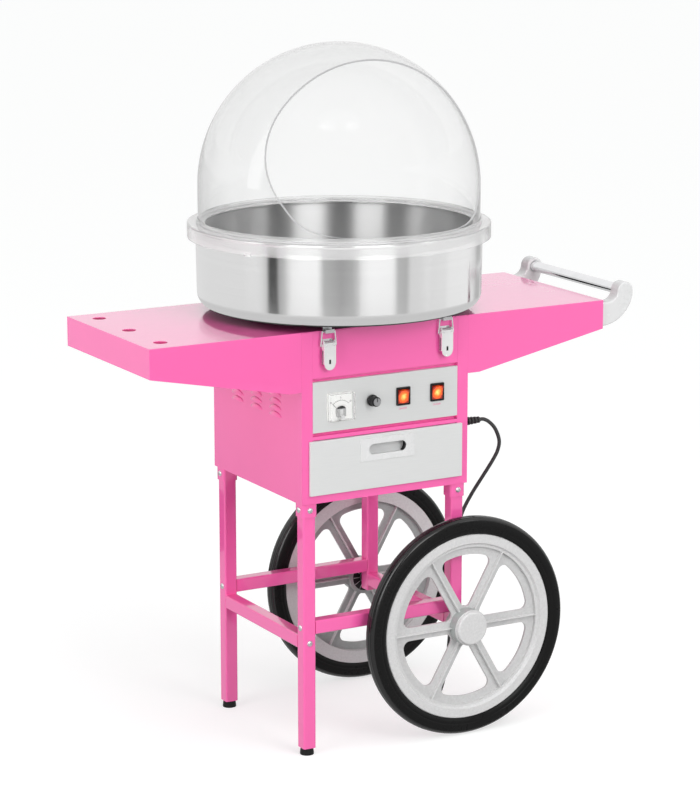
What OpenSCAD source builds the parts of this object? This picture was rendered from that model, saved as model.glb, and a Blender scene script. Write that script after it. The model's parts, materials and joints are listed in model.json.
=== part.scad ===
/* [Cabinet] */
// Outer width of the cabinet, side to side
cab_w = 344; // [330:1:370]
// Outer depth of the cabinet, front to back
cab_d = 344; // [336:1:370]
// Height of the cabinet
cab_h = 313; // [308:1:330]
// Height of the cabinet's underside above the floor
cab_base = 472; // [440:1:520]
// Thickness of the sheet steel
sheet = 1.5; // [1:0.1:2]
// Width of the folded front posts
post_w = 22; // [18:1:26]
// Height of the sill under the drawer
sill_h = 15; // [12:1:18]
// Height of the rail over the drawer
rail_h = 7; // [5:0.5:9]
// Height of the channel above and below the control panel
channel_h = 6.5; // [4:0.5:8]
// Depth of that channel
channel_d = 8; // [6:0.5:10]
// Height of the control panel
panel_h = 92; // [86:1:96]
// Height of the opening for the drawer
drawer_open_h = 100.5; // [98:0.5:103]

/* [Wings] */
// Length of each side wing
wing_l = 295; // [240:1:340]
// Height of a wing's skirt at its free end
wing_end_h = 54; // [46:1:64]
// Height of a wing's skirt at the cabinet
wing_root_h = 108; // [96:1:118]
// Length of the level stretch of the skirt next to the cabinet
wing_level = 25; // [15:1:40]
// Diameter of the stick holes in the left wing
stick_d = 25; // [18:1:32]
// Distance of the stick holes from the wing's free end
stick_edge = 43; // [32:1:60]
// Distance between neighbouring stick holes
stick_pitch = 126; // [90:1:132]

/* [Legs] */
// Width of the square leg tube
leg = 25; // [22:0.5:28]
// Wall of the leg tube
leg_wall = 1.5; // [1:0.1:2]
// Inset of the legs from the cabinet's sides
leg_inset = 5; // [4:0.5:8]
// Height of the sockets under the cabinet
socket_h = 25; // [20:1:32]
// Wall of the sockets
socket_wall = 2.5; // [2:0.1:3]
// Height of the middle of the side rails above the floor
side_rail_z = 212; // [208:1:216]
// Height of the middle of the front and back rails above the floor
cross_rail_z = 240; // [238:1:280]
// Height of the short legs' lower ends above the floor
short_leg_z = 190; // [180:1:194]
// Height of the rubber feet under the long legs
foot_h = 13; // [10:1:20]

/* [Wheels] */
// Outer radius of the tyres
wheel_r = 207; // [204:1:210]
// Width of the tyres
tyre_w = 34; // [30:1:38]
// Outer radius of the wheel's flange
rim_r = 175; // [172:1:178]
// Width of the wheel's rim
rim_w = 26; // [24:1:28]
// Distance of each wheel's middle plane outside the cabinet's front or back
wheel_out = 20; // [18:1:28]
// Diameter of the axle
axle_d = 10; // [9:0.5:10]
// Number of spokes
spoke_n = 6; // [5:1:8]
// Width of a spoke's flat web
spoke_w = 25; // [20:1:30]
// Radius of the hub
hub_r = 34; // [30:1:38]

/* [Bowl and dome] */
// Outer radius of the bowl
bowl_r = 260; // [250:1:270]
// Height of the bowl
bowl_h = 145; // [136:1:156]
// Gap between the deck and the bowl's underside
bowl_lift = 11; // [11:0.5:14]
// Inset of the dome's outside from the bowl's
dome_inset = 3; // [2:0.5:10]
// Wall of the dome
dome_wall = 3; // [2:0.5:4]
// Height of the dome's straight part
dome_straight = 66; // [50:1:80]
// Overhang of the dome's base ring past the bowl
ring_out = 17; // [15:1:24]
// Height of the base ring's skirt
ring_h = 27; // [20:1:32]

/* [Spinner] */
// Radius of the spinning head
head_r = 62; // [50:1:68]
// Radius of the spinner's shaft
shaft_r = 6; // [5:0.5:7]
// Radius of the motor
motor_r = 48; // [42:1:54]
// Length of the motor
motor_l = 96; // [80:1:100]

/* [Controls] */
// Side of the square meter
meter_w = 50; // [46:1:54]
// Radius of the regulator knob
knob_r = 10.5; // [9:0.5:12]
// Width of a rocker switch's bezel
switch_w = 28; // [27:0.5:30]
// Height of a rocker switch's bezel
switch_h = 33; // [32:0.5:35]

/* [Drawer] */
// Width of each post left bare beside the drawer's front
front_edge = 14; // [11:1:18]
// Depth of the drawer's box
box_d = 300; // [240:1:310]
// Height of the drawer's box
box_h = 78; // [60:1:82]
// Width of the pull's plate
pull_w = 113; // [100:1:130]
// Height of the pull's plate
pull_h = 42; // [38:1:46]

/* [Latches] */
// Distance of the latches from the cabinet's sides
latch_in = 51; // [48:1:62]
// Width of a latch lever
lever_w = 24; // [22:0.5:26]
// Length of a latch lever below its pivot
lever_l = 49; // [44:1:54]
// Radius of the bail's wire
wire_r = 1.4; // [1.2:0.1:1.5]

/* [Handle] */
// Diameter of the handle's bar
bar_d = 20; // [16:1:22]
// Distance from the wing's end to the bar's middle
bar_out = 53; // [46:1:64]
// Height of the bar's middle above the wing's top
bar_up = 12; // [6:1:16]
// Width of each handle bracket
bracket_w = 26; // [22:1:30]

/* [Hidden] */
$fn = 64;
overrun = 5;
fit = 0.05;
clear = 0.3;

// Levels of the cabinet
top_z = cab_base + cab_h;
front_y = -cab_d / 2;
inner_w = cab_w - 2 * post_w;
rail_z = cab_base + sill_h + drawer_open_h;
panel_z = rail_z + rail_h + channel_h;
upper_z = panel_z + panel_h + channel_h;
lip = 14;

// The cart stands with the middle of its length over the origin
bracket_nose = 17.5;
left_reach = cab_w / 2 + wing_l;
right_reach = cab_w / 2 + wing_l + bar_out + bracket_nose;
cab_x = (left_reach - right_reach) / 2;

// Louvres in the cabinet's sides
louvre_w = 40;
louvre_h = 5;
louvre_pitch = 12.4;
louvre_cols = 3;
louvre_rows = 4;
louvre_gap = 33.5;
louvre_below = 20.5;

// Legs, sockets and feet
leg_round = 3;
leg_x = cab_w / 2 - leg_inset - leg / 2;
leg_y = cab_d / 2 - leg_inset - leg / 2;
socket_w = leg + 2 * (socket_wall + fit);
foot_r = 12.8;
foot_top_r = 11.5;
foot_plug_r = 9;
foot_plug_h = 14;
rail_plug = 6;
bolt_r = 3;
bolt_head_r = 5.5;
bolt_head_h = 3.2;
bolt_key_r = 2.3;
bolt_key_d = 1.8;
bolt_grip = 4;
socket_bolt_drop = 12;

// Wheels, in each wheel's own frame: radius and distance outwards
wheel_y = cab_d / 2 + wheel_out;
axle_r = axle_d / 2;
axle_shift = 3.5;
axle_x = leg_x + axle_shift;
rim_lip = 3;
seat_depth = 7;
flange_w = 17;
rim_depth = 25;
window_edge = 40;
seat_r = rim_r - seat_depth;
rim_in_r = rim_r - rim_depth;
rim_step_r = rim_r - flange_w;
rim_step = 5;
web_low = -3;
web_top = 2;
rib_t = 2.6;
rib_top = 9;
window_r = rim_r - window_edge;
window_round = 13;
apex_round = 11;
hub_in = 14;
hub_out = 22;
hub_well_r = 15;
hub_well = 12;
cap_margin = 3;
cap_r = hub_r - cap_margin;
cap_h = 7;
cap_round = 3.5;
cap_plug_r = hub_well_r - 2 * fit;
cap_plug_bore = 12.5;
cap_plug = 5;
nut_r = 9;
nut_h = 5;
spacer_r = 11;
tyre_base = 6;

// Bowl and what holds it
bowl_wall = 1.5;
bowl_z = top_z + bowl_lift;
bowl_round = 24;
bead_r = 4;
bowl_hole_r = 34;
bowl_collar_h = 22;
seat_out_r = 165;
seat_in_r = 148;
deck_hole_r = 30;

// Dome: its base stands on the bowl's bead inside the ring
dome_r = bowl_r - dome_inset;
ring_r = bowl_r + ring_out;
ring_t = 3;
rim_z = bowl_z + bowl_h + bead_r;
ring_top = rim_z + clear + ring_t;
dome_z = ring_top;
dome_mid_z = dome_z + dome_straight;
ring_inset = 16;
ring_in_r = bowl_r - ring_inset;
collar_h = 7;
collar_in_r = dome_r + clear;
collar_r = collar_in_r + ring_t;
clip_w = 14;
clip_h = 5;
clip_t = 7;
clip_turn = 25;
mouth_cut = 147;
mouth_foot_cut = 65;
mouth_y = dome_r - mouth_cut;
mouth_foot_y = dome_r - mouth_foot_cut;
mouth_bend = 100;
mouth_sill = collar_h;
mouth_bend_round = 70;
mouth_sill_round = 22;

// Spinner and drive
motor_gap = 42;
motor_top = top_z - sheet - motor_gap;
motor_flange_r = 58;
motor_flange_h = 5;
motor_cap_h = 14;
motor_fin_n = 10;
motor_fin_w = 6;
motor_fin_d = 3;
pillar_r = 5;
shaft_seat = 30;
shaft_low = motor_top - shaft_seat;
head_lift = 36;
head_z = bowl_z + head_lift;
pan_h = 12;
pan_wall = 2.5;
band_h = 22;
band_t = 2;
band_slots = 24;
band_slot_w = 3;
head_cap_h = 16;
head_core_r = 16;
slip_r = 12;
slip_h = 9;
slip_gap = 5;
slip_lift = 8;
slip_z = motor_top + slip_lift;
brush_w = 14;
brush_l = 16;
brush_board_t = 4;

// Places of the controls on the panel
controls_z = panel_z + panel_h / 2;
meter_share = -0.32;
meter_x = meter_share * inner_w;
meter_drop = 1.5;
knob_share = -0.1;
knob_x = knob_share * inner_w;
knob_rise = 2;
switch_shares = [7 / 60, 53 / 150];
switch_xs = switch_shares * inner_w;
switch_rise = 2.5;
meter_flange = 4;
meter_cover_h = 9;
meter_cover_t = 1.5;
meter_body_r = 22;
meter_body_l = 28;
meter_pocket = 2;
meter_hump_r = 13;
meter_pivot_drop = 11;
needle_l = 24;
needle_w = 1;
needle_t = 0.6;
needle_tip_w = 0.3;
needle_hub_r = 3;
needle_pin_r = 1;
needle_pin_l = 3;
needle_rest = 45;
knob_l = 17;
knob_skirt = 4;
knob_step = 1.5;
knob_grip_r = knob_r - knob_step;
knob_groove_n = 12;
knob_groove_r = 1.2;
knob_edge = 3.5;
knob_cap_r = knob_r - knob_edge;
knob_cap_h = 2;
knob_slot_w = 1.6;
knob_slot_d = 0.9;
stem_r = 3;
stem_l = 18;
pot_bush_r = 5;
pot_bush_l = 7;
pot_r = 12;
pot_l = 13;
pot_tab_w = 16;
bezel_t = 3;
bezel_rim = 3;
switch_wall = 1;
switch_depth = 22;
switch_floor = 5;
rocker_pivot = 2;
rocker_side = 0.3;
rocker_end = 1.5;
rocker_half = switch_h / 2 - bezel_rim - rocker_end;
rocker_tip = 6.5;
rocker_dip = 4.8;
rocker_back = 5;
rocker_tilt = 10;
trunnion_r = 1.5;

// Drawer
front_w = cab_w - 2 * front_edge;
front_t = 5;
front_gap = 0.5;
box_side = 6;
box_lift = 5;
box_w = inner_w - 2 * box_side;
box_z = cab_base + sill_h + box_lift;
box_back = front_y - front_t + sheet - clear + box_d;
runner_t = 2;
runner_h = 24;
runner_in = 12;
pull_t = 1.5;
slot_w = 77;
slot_h = 19;
cup_wall = 1.2;
cup_d = 14;
cup_rim = 3;
pull_drop = 6;

// Toggle latches, in each latch's own frame at the lever's pivot
latch_x = cab_w / 2 - latch_in;
pivot_out = 6;
pivot_drop = 21;
latch_pin_r = 1.5;
base_t = 1.2;
base_low = 40;
base_high = 6;
ear_t = 1.5;
ear_r = 4;
ear_foot = 2.2;
lever_t = 1.5;
cheek_r = 4.4;
cheek_out = 5.7;
cheek_low = 9;
flange_in = 2.6;
lever_taper = 1;
lever_end_r = lever_w / 2 - lever_taper;
lever_hole_w = 4;
lever_hole_h = 8;
lever_hole_z = 34;
bail_pivot = 5;
bail_over = 0.5;
bail_foot_out = 3.5;
bail_top_out = 0.6;
bail_side = lever_w / 2 + bail_foot_out;
bail_top = lever_w / 2 + bail_top_out;
bail_dip = 0.5;
bail_rise = pivot_drop - bail_dip;
catch_w = 18;
catch_t = 1.2;
catch_in = 0.8;
catch_reach = 12;
catch_lip = 5.4;
catch_foot = 12;

// Handle
wing_end_x = cab_w / 2 + wing_l;
bar_wall = 1.5;
bar_seat = 5;
bracket_edge = 4;
bracket_foot = 3;
bracket_root = wing_end_h - bracket_foot;
bracket_neck = 18;
bracket_step = 13;
bracket_screw_drop = 14;
bracket_screw_shares = [1, 2.5];

// Cord, its strain relief, coil and plug
cord_d = 7;
cord_r = cord_d / 2;
cord_sides = 8;
floor_gap = 0.1;
gland_y = -148;
gland_z = 581;
gland_r = 11;
gland_flange = 3;
gland_nut_r = 10;
gland_nut_h = 5;
gland_thread_r = 6;
boot_l = 40;
boot_r = 7;
boot_tip_r = 5;
boot_rings = 5;
boot_ring_d = 1;
boot_tip_x = cab_x + cab_w / 2 + boot_l;
coil_x = 140.5;
coil_y = -104;
coil_r = 46;
coil_turns = 4.25;
coil_pitch = 8;
coil_in_r = coil_r - coil_pitch * coil_turns / 2;
coil_sides = 6;
coil_steps = 24;
coil_step_z = 8;
tie_w = 6;
tie_t = 1.2;
coil_z = floor_gap + tie_t + clear + cord_r;
coil_start = [coil_x - coil_r, coil_y + cord_d, coil_z];
tail_l = 34;
plug_r = 19;
plug_z = plug_r + floor_gap;
plug_l = 30;
plug_neck_l = 24;
plug_neck_r = 6;
plug_waist_r = 12;
plug_pin_r = 2.4;
plug_pin_l = 19;
plug_pin_gap = 19;
plug_side_flat = 5;
plug_waist_share = 0.7;
plug_flat_share = 0.5;
route = [
    [boot_tip_x, gland_y, gland_z],
    [186, -148, 581],
    [199, -148, 574],
    [213, -147, 559],
    [223, -145, 536],
    [222, -142, 517],
    [216, -138, 501],
    [207, -133, 483],
    [198, -127, 465],
    [181, -118, 433],
    [167, -110, 400],
    [158, -104, 362],
    [154, -100, 318],
    [152, -97, 260],
    [152, -94, 200],
    [152, -89, 142],
    [152, -80, 94],
    [153, -65, 52],
    [154, -45, 21],
    [154, -21, 5.5],
    [147, 0, 3.7],
    [124, 10, 3.6],
    [102, 0, 3.6],
    [94.5, -22, 3.6],
    [94.5, -46, 3.8],
    [94.5, -70, 4.6],
    [94.5, -84, 5.1],
    coil_start
];

// Colours
pink = [0.96, 0.42, 0.68];
steel = [0.80, 0.80, 0.81];
brushed = [0.84, 0.84, 0.85];
chrome = [0.88, 0.88, 0.90];
grey = [0.80, 0.80, 0.81];
white = [0.92, 0.92, 0.92];
black = [0.08, 0.08, 0.08];
clear_plastic = [0.9, 0.95, 1.0, 0.3];
brass = [0.80, 0.62, 0.30];
amber = [0.95, 0.40, 0.08];

// Outline helpers: an arc, an oval arc, a rectangle and a slot with round corners
function arc(c, r, from, to, n = 12) =
    [for (i = [0:n]) let (a = from + (to - from) * i / n) c + r * [cos(a), sin(a)]];
function oval(c, rx, ry, from, to, n = 12) =
    [for (i = [0:n]) let (a = from + (to - from) * i / n) c + [rx * cos(a), ry * sin(a)]];
function rounded(w, h, r) = concat(
    arc([w / 2 - r, h / 2 - r], r, 0, 90, 6),
    arc([r - w / 2, h / 2 - r], r, 90, 180, 6),
    arc([r - w / 2, r - h / 2], r, 180, 270, 6),
    arc([w / 2 - r, r - h / 2], r, 270, 360, 6));
function slot(w, h) = concat(
    arc([(w - h) / 2, 0], h / 2, -90, 90, 16),
    arc([(h - w) / 2, 0], h / 2, 90, 270, 16));
function unit(v) = v / norm(v);
function left_of(a, b) = let (d = unit(b - a)) [-d[1], d[0]];
// Corner p between a and b, rounded to radius r
function corner(a, p, b, r, n = 8) = let (
    u = unit(a - p),
    v = unit(b - p),
    half = acos(u * v) / 2,
    c = p + unit(u + v) * r / sin(half),
    s = p + u * r / tan(half) - c,
    e = p + v * r / tan(half) - c,
    from = atan2(s[1], s[0]),
    turn = atan2(s[0] * e[1] - s[1] * e[0], s * e))
    arc(c, r, from, from + turn, n);
// A bent sheet of thickness t, lying to the left of its outer path
function folded(path, t) = let (
    last = len(path) - 1,
    inner = [for (i = [last:-1:0]) let (
        before = i > 0 ? left_of(path[i - 1], path[i]) : left_of(path[0], path[1]),
        after = i < last ? left_of(path[i], path[i + 1]) : before)
        path[i] + t * (before + after) / (1 + before * after)])
    concat(path, inner);

// Tube helpers: a smooth curve through points, its frames and its skin
function smooth(p, steps) = concat(
    [for (i = [0:len(p) - 2], k = [0:steps - 1]) let (
        t = k / steps,
        a = p[max(i - 1, 0)],
        b = p[i],
        c = p[i + 1],
        d = p[min(i + 2, len(p) - 1)])
        b + t * (c - a) / 2
          + t * t * (2 * a - 5 * b + 4 * c - d) / 2
          + t * t * t * (3 * b - a - 3 * c + d) / 2],
    [p[len(p) - 1]]);
function tangents(p) = [for (i = [0:len(p) - 1])
    unit(p[min(i + 1, len(p) - 1)] - p[max(i - 1, 0)])];
function level(t) = let (s = cross(t, [0, 0, 1])) norm(s) > 0.2 ? unit(s) : [0, 1, 0];
function square_to(n, t) = unit(n - (n * t) * t);
function carried(t) = [for (i = 0, n = level(t[0]); i < len(t);
    n = square_to(n, t[min(i + 1, len(t) - 1)]), i = i + 1) n];
module tube(p, r, sides) {
    t = tangents(p);
    n = carried(t);
    rings = len(p);
    points = [for (i = [0:rings - 1], k = [0:sides - 1]) let (a = 360 * (k + 0.5) / sides)
        p[i] + r * (cos(a) * n[i] + sin(a) * cross(t[i], n[i]))];
    skin = [for (i = [0:rings - 2], k = [0:sides - 1]) let (
        a = i * sides + k,
        b = i * sides + (k + 1) % sides)
        each [[a, a + sides, b], [b, a + sides, b + sides]]];
    caps = [for (k = [1:sides - 2]) each [
        [0, k, k + 1],
        let (z = (rings - 1) * sides) [z, z + k + 1, z + k]]];
    polyhedron(points, concat(skin, caps));
}

// Placing helpers
module place() translate([cab_x, 0, 0]) children();
module along_x(l) rotate([90, 0, 90]) linear_extrude(l, center = true) children();
module along_y(l) rotate([90, 0, 0]) linear_extrude(l, center = true) children();
module both(v) {
    children();
    mirror(v) children();
}
module box(low, high) translate(low) cube(high - low);
module at_front() translate([0, front_y, 0]) rotate([90, 0, 0]) children();

// Cabinet: three walls and the front posts folded from one sheet, with a floor and sill
module cabinet_shell() {
    half = [cab_w, cab_d] / 2;
    wall = [
        [post_w - half[0], -half[1]],
        [-half[0], -half[1]],
        [-half[0], half[1]],
        [half[0], half[1]],
        [half[0], -half[1]],
        [half[0] - post_w, -half[1]]
    ];
    turned = [for (i = [len(wall) - 1:-1:0]) wall[i]];
    base = [
        [cab_d / 2 - sheet, cab_base],
        [cab_d / 2 - sheet, cab_base + sheet],
        [front_y + sheet, cab_base + sheet],
        [front_y + sheet, cab_base + sill_h],
        [front_y, cab_base + sill_h],
        [front_y, cab_base]
    ];
    color(pink) place() difference() {
        union() {
            translate([0, 0, cab_base]) linear_extrude(cab_h - sheet) polygon(folded(turned, sheet));
            along_x(inner_w) polygon(base);
            translate([0, 0, cab_base]) linear_extrude(sheet)
                polygon(rounded(cab_w - sheet, cab_d - sheet, sheet));
        }
        for (c = [0:louvre_cols - 1], r = [0:louvre_rows - 1])
            translate([0, (c - (louvre_cols - 1) / 2) * (louvre_w + louvre_gap),
                top_z - wing_root_h - louvre_below - r * louvre_pitch])
                along_x(cab_w + overrun) polygon(slot(louvre_w, louvre_h));
        translate([0, gland_y, gland_z]) rotate([0, 90, 0]) cylinder(r = gland_thread_r + fit, h = cab_w);
    }
}

// Upper panel, channel behind the control panel and rail over the drawer, one folded sheet
module front_panel() {
    path = [
        [front_y + channel_d + lip, rail_z],
        [front_y, rail_z],
        [front_y, rail_z + rail_h],
        [front_y + channel_d, rail_z + rail_h],
        [front_y + channel_d, upper_z],
        [front_y, upper_z],
        [front_y, top_z - sheet]
    ];
    turned = [for (i = [len(path) - 1:-1:0]) path[i]];
    color(pink) place() difference() {
        along_x(inner_w) polygon(folded(turned, sheet));
        translate([0, front_y, controls_z]) along_x(inner_w - 2 * lip)
            square([2 * (channel_d + overrun), panel_h - 2 * lip], center = true);
    }
}

// Top plate with the opening for the spinner's shaft
module top_deck() {
    color(pink) place() translate([0, 0, top_z - sheet]) difference() {
        linear_extrude(sheet) polygon(rounded(cab_w, cab_d, 2 * sheet));
        translate([0, 0, -overrun]) cylinder(r = deck_hole_r, h = sheet + 2 * overrun);
    }
}

// Tray-shaped control panel with cut-outs for the instruments
module control_panel() {
    w = inner_w - 2 * clear;
    tray = [
        [channel_d, -panel_h / 2],
        [0, -panel_h / 2],
        [0, panel_h / 2],
        [channel_d, panel_h / 2]
    ];
    turned = [for (i = [len(tray) - 1:-1:0]) tray[i]];
    color(brushed) place() difference() {
        translate([0, front_y, controls_z]) along_x(w) polygon(folded(turned, sheet));
        at_front() translate([0, 0, -channel_d]) linear_extrude(channel_d + overrun) {
            translate([meter_x, controls_z - meter_drop]) circle(r = meter_body_r + clear);
            translate([knob_x, controls_z + knob_rise]) circle(r = pot_bush_r + fit);
            for (x = switch_xs) translate([x, controls_z + switch_rise])
                square([switch_w - bezel_rim, switch_h - bezel_rim], center = true);
        }
    }
}

// One side wing: a tray with a tapered skirt, open below, its end on the +X side
module wing() {
    root = cab_w / 2;
    end = root + wing_l;
    outline = [
        [root, top_z],
        [root, top_z - wing_root_h],
        [root + wing_level, top_z - wing_root_h],
        [end, top_z - wing_end_h],
        [end, top_z]
    ];
    hollow = [
        [root + sheet, top_z - sheet],
        [root + sheet, top_z - wing_root_h - overrun],
        [end - sheet, top_z - wing_root_h - overrun],
        [end - sheet, top_z - sheet]
    ];
    difference() {
        along_y(cab_d) polygon(outline);
        along_y(cab_d - 2 * sheet) polygon(hollow);
    }
}
module left_wing() {
    color(pink) place() difference() {
        mirror([1, 0, 0]) wing();
        for (i = [-1:1]) translate([stick_edge - wing_end_x, i * stick_pitch, top_z - overrun])
            cylinder(d = stick_d, h = 2 * overrun);
    }
}
module right_wing() {
    color(pink) place() difference() {
        wing();
        handle_screws(bolt_r + fit);
    }
}

// Legs in their sockets, with rails between them and bolts through their faces
module square_tube(l) {
    linear_extrude(l) difference() {
        polygon(rounded(leg, leg, leg_round));
        polygon(rounded(leg - 2 * leg_wall, leg - 2 * leg_wall, leg_round - leg_wall));
    }
}
// A bolt with its keyed head, or the hole for it
module bolt(r, grip, head) {
    translate([0, 0, -grip]) cylinder(r = r, h = head ? grip : grip + overrun);
    if (head) difference() {
        rotate_extrude() polygon(concat([[0, 0]], oval([0, 0], bolt_head_r, bolt_head_h, 0, 90, 8)));
        translate([0, 0, bolt_head_h - bolt_key_d]) cylinder(r = bolt_key_r, h = bolt_head_h, $fn = 6);
    }
}
// The three bolts of the leg at +X, +Y: through its socket's two faces, and into the rails
module leg_bolts(r, head, axle) {
    socket_z = cab_base - socket_bolt_drop;
    socket_face = socket_w / 2;
    short_grip = socket_wall + leg_wall + bolt_grip;
    long_grip = leg + bolt_grip;
    translate([leg_x + socket_face, leg_y, socket_z]) rotate([0, 90, 0]) bolt(r, short_grip, head);
    translate([leg_x, leg_y + socket_face, socket_z]) rotate([-90, 0, 0]) bolt(r, short_grip, head);
    translate([leg_x + leg / 2, leg_y, cross_rail_z]) rotate([0, 90, 0]) bolt(r, long_grip, head);
    if (!axle)
        translate([leg_x, leg_y + leg / 2, side_rail_z]) rotate([-90, 0, 0]) bolt(r, long_grip, head);
}
module handle_screws(r, head = false) {
    mid_y = cab_d / 2 - bracket_edge - bracket_w / 2;
    for (s = [-1, 1], k = bracket_screw_shares)
        translate([wing_end_x - sheet, s * mid_y, top_z - k * bracket_screw_drop])
            rotate([0, -90, 0]) bolt(r, sheet + bolt_grip, head);
}
module leg_sockets() {
    color(pink) place() both([1, 0, 0]) both([0, 1, 0]) difference() {
        translate([leg_x, leg_y, cab_base - socket_h]) linear_extrude(socket_h) difference() {
            polygon(rounded(socket_w, socket_w, leg_round + socket_wall));
            polygon(rounded(leg + 2 * fit, leg + 2 * fit, leg_round));
        }
        leg_bolts(bolt_r + fit, false, false);
    }
}
module long_legs() {
    color(pink) place() mirror([1, 0, 0]) both([0, 1, 0]) difference() {
        translate([leg_x, leg_y, foot_h]) square_tube(cab_base - foot_h);
        leg_bolts(bolt_r + fit, false, false);
    }
}
module short_legs() {
    color(pink) place() both([0, 1, 0]) difference() {
        translate([leg_x, leg_y, short_leg_z]) square_tube(cab_base - short_leg_z);
        leg_bolts(bolt_r + fit, false, true);
        translate([axle_x, 0, wheel_r]) rotate([-90, 0, 0]) cylinder(r = axle_r + fit, h = cab_d);
    }
}
module rail(l) {
    difference() {
        translate([0, 0, -l / 2]) linear_extrude(l) polygon(rounded(leg, leg, leg_round));
        translate([0, 0, rail_plug - l / 2]) linear_extrude(l - 2 * rail_plug)
            polygon(rounded(leg - 2 * leg_wall, leg - 2 * leg_wall, leg_round - leg_wall));
    }
}
module leg_rails() {
    color(pink) place() {
        both([0, 1, 0]) difference() {
            translate([0, leg_y, cross_rail_z]) rotate([0, 90, 0]) rail(2 * leg_x - leg);
            both([1, 0, 0]) leg_bolts(bolt_r + fit, false, true);
        }
        difference() {
            translate([-leg_x, 0, side_rail_z]) rotate([90, 0, 0]) rail(2 * leg_y - leg);
            mirror([1, 0, 0]) both([0, 1, 0]) leg_bolts(bolt_r + fit, false, false);
        }
        difference() {
            translate([leg_x, 0, side_rail_z]) rotate([90, 0, 0]) rail(2 * leg_y - leg);
            translate([axle_x, 0, wheel_r]) rotate([90, 0, 0])
                cylinder(r = axle_r + fit, h = cab_d, center = true);
        }
    }
}
module leg_feet() {
    profile = [
        [0, 0],
        [foot_r, 0],
        [foot_r, foot_h / 4],
        [foot_top_r, foot_h],
        [foot_plug_r, foot_h],
        [foot_plug_r, foot_h + foot_plug_h],
        [0, foot_h + foot_plug_h]
    ];
    color(black) place() both([0, 1, 0]) translate([-leg_x, leg_y, 0]) rotate_extrude() polygon(profile);
}
module frame_bolts() {
    color(chrome) place() {
        both([0, 1, 0]) {
            leg_bolts(bolt_r, true, true);
            mirror([1, 0, 0]) leg_bolts(bolt_r, true, false);
        }
        handle_screws(bolt_r, true);
    }
}

// Wheels: one is made with its outer side along +Z and turned to the front or the back
module at_wheel() place() translate([axle_x, -wheel_y, wheel_r]) rotate([90, 0, 0]) children();
module wheel_axle() {
    end = wheel_y + hub_out - hub_well + clear + nut_h;
    color(steel) place() translate([axle_x, 0, wheel_r]) {
        rotate([90, 0, 0]) cylinder(r = axle_r, h = 2 * end, center = true);
        both([0, 1, 0]) translate([0, -end, 0]) rotate([-90, 0, 0]) cylinder(r = nut_r, h = nut_h, $fn = 6);
    }
}
module axle_spacers() {
    from = leg_y + leg / 2;
    color(steel) place() both([0, 1, 0]) translate([axle_x, from, wheel_r]) rotate([-90, 0, 0])
        difference() {
            cylinder(r = spacer_r, h = wheel_y - hub_in - clear - from);
            translate([0, 0, -overrun]) cylinder(r = axle_r + fit, h = wheel_y);
        }
}
// Window between two spokes: a triangle with three round corners and an arched outer side
function window() = let (
    half = 180 / spoke_n,
    n = [-sin(half), cos(half)],
    off = spoke_w / 2 + window_round,
    out = window_r - window_round,
    c = sqrt(out * out - off * off) * [cos(half), sin(half)] - off * n,
    lean = atan2(c[1], c[0]),
    apex = [(spoke_w / 2 + apex_round) / sin(half), 0])
    concat(
        arc([0, 0], window_r, -lean, lean, 10),
        arc(c, window_round, lean, 90 + half, 6),
        arc(apex, apex_round, 90 + half, 270 - half, 6),
        arc([c[0], -c[1]], window_round, -90 - half, -lean, 6));
module wheel() {
    half = rim_w / 2;
    ring = [
        [rim_in_r, -half],
        [rim_r, -half],
        [rim_r, rim_lip - half],
        [seat_r, rim_lip - half],
        [seat_r, half - rim_lip],
        [rim_r, half - rim_lip],
        [rim_r, half - rim_lip / 2],
        [rim_r - rim_lip / 2, half],
        [rim_step_r, half],
        [rim_step_r - rim_lip, half - rim_step],
        [rim_in_r, half - rim_step]
    ];
    difference() {
        union() {
            rotate_extrude($fn = 128) polygon(ring);
            translate([0, 0, web_low]) cylinder(r = rim_in_r + fit, h = web_top - web_low);
            translate([0, 0, -hub_in]) cylinder(r = hub_r, h = hub_in + hub_out);
            for (i = [0:spoke_n - 1]) rotate(i * 360 / spoke_n)
                box([hub_r / 2, -rib_t / 2, 0], [rim_in_r + rib_t, rib_t / 2, rib_top]);
        }
        for (i = [0:spoke_n - 1]) rotate((i + 0.5) * 360 / spoke_n) translate([0, 0, -hub_in])
            linear_extrude(hub_in + hub_out) polygon(window());
        translate([0, 0, -hub_in - overrun]) cylinder(r = axle_r + fit, h = 2 * hub_out + hub_in);
        translate([0, 0, hub_out - hub_well]) cylinder(r = hub_well_r, h = hub_well + overrun);
    }
}
module tyre() {
    half = rim_w / 2 - rim_lip - fit;
    edge = rim_r + 2 * fit;
    crown = edge + tyre_base;
    profile = concat(
        [[seat_r + fit, half], [seat_r + fit, -half], [edge, -half], [edge, tyre_base / 2 - tyre_w / 2]],
        oval([crown, 0], wheel_r - crown, tyre_w / 2, -90, 90, 20),
        [[edge, tyre_w / 2 - tyre_base / 2], [edge, half]]);
    rotate_extrude($fn = 128) polygon(profile);
}
module hub_cap() {
    profile = concat(
        [[0, 0], [cap_r, 0]],
        arc([cap_r - cap_round, cap_h - cap_round], cap_round, 0, 90, 6),
        [[0, cap_h]]);
    translate([0, 0, hub_out]) {
        rotate_extrude() polygon(profile);
        translate([0, 0, -cap_plug]) difference() {
            cylinder(r = cap_plug_r, h = cap_plug + cap_h / 2);
            translate([0, 0, -overrun]) cylinder(r = cap_plug_bore, h = cap_plug + overrun);
        }
    }
}
module front_wheel() color(grey) at_wheel() wheel();
module front_tyre() color(black) at_wheel() tyre();
module front_hub_cap() color(grey) at_wheel() hub_cap();
module rear_wheel() color(grey) mirror([0, 1, 0]) at_wheel() wheel();
module rear_tyre() color(black) mirror([0, 1, 0]) at_wheel() tyre();
module rear_hub_cap() color(grey) mirror([0, 1, 0]) at_wheel() hub_cap();

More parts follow.
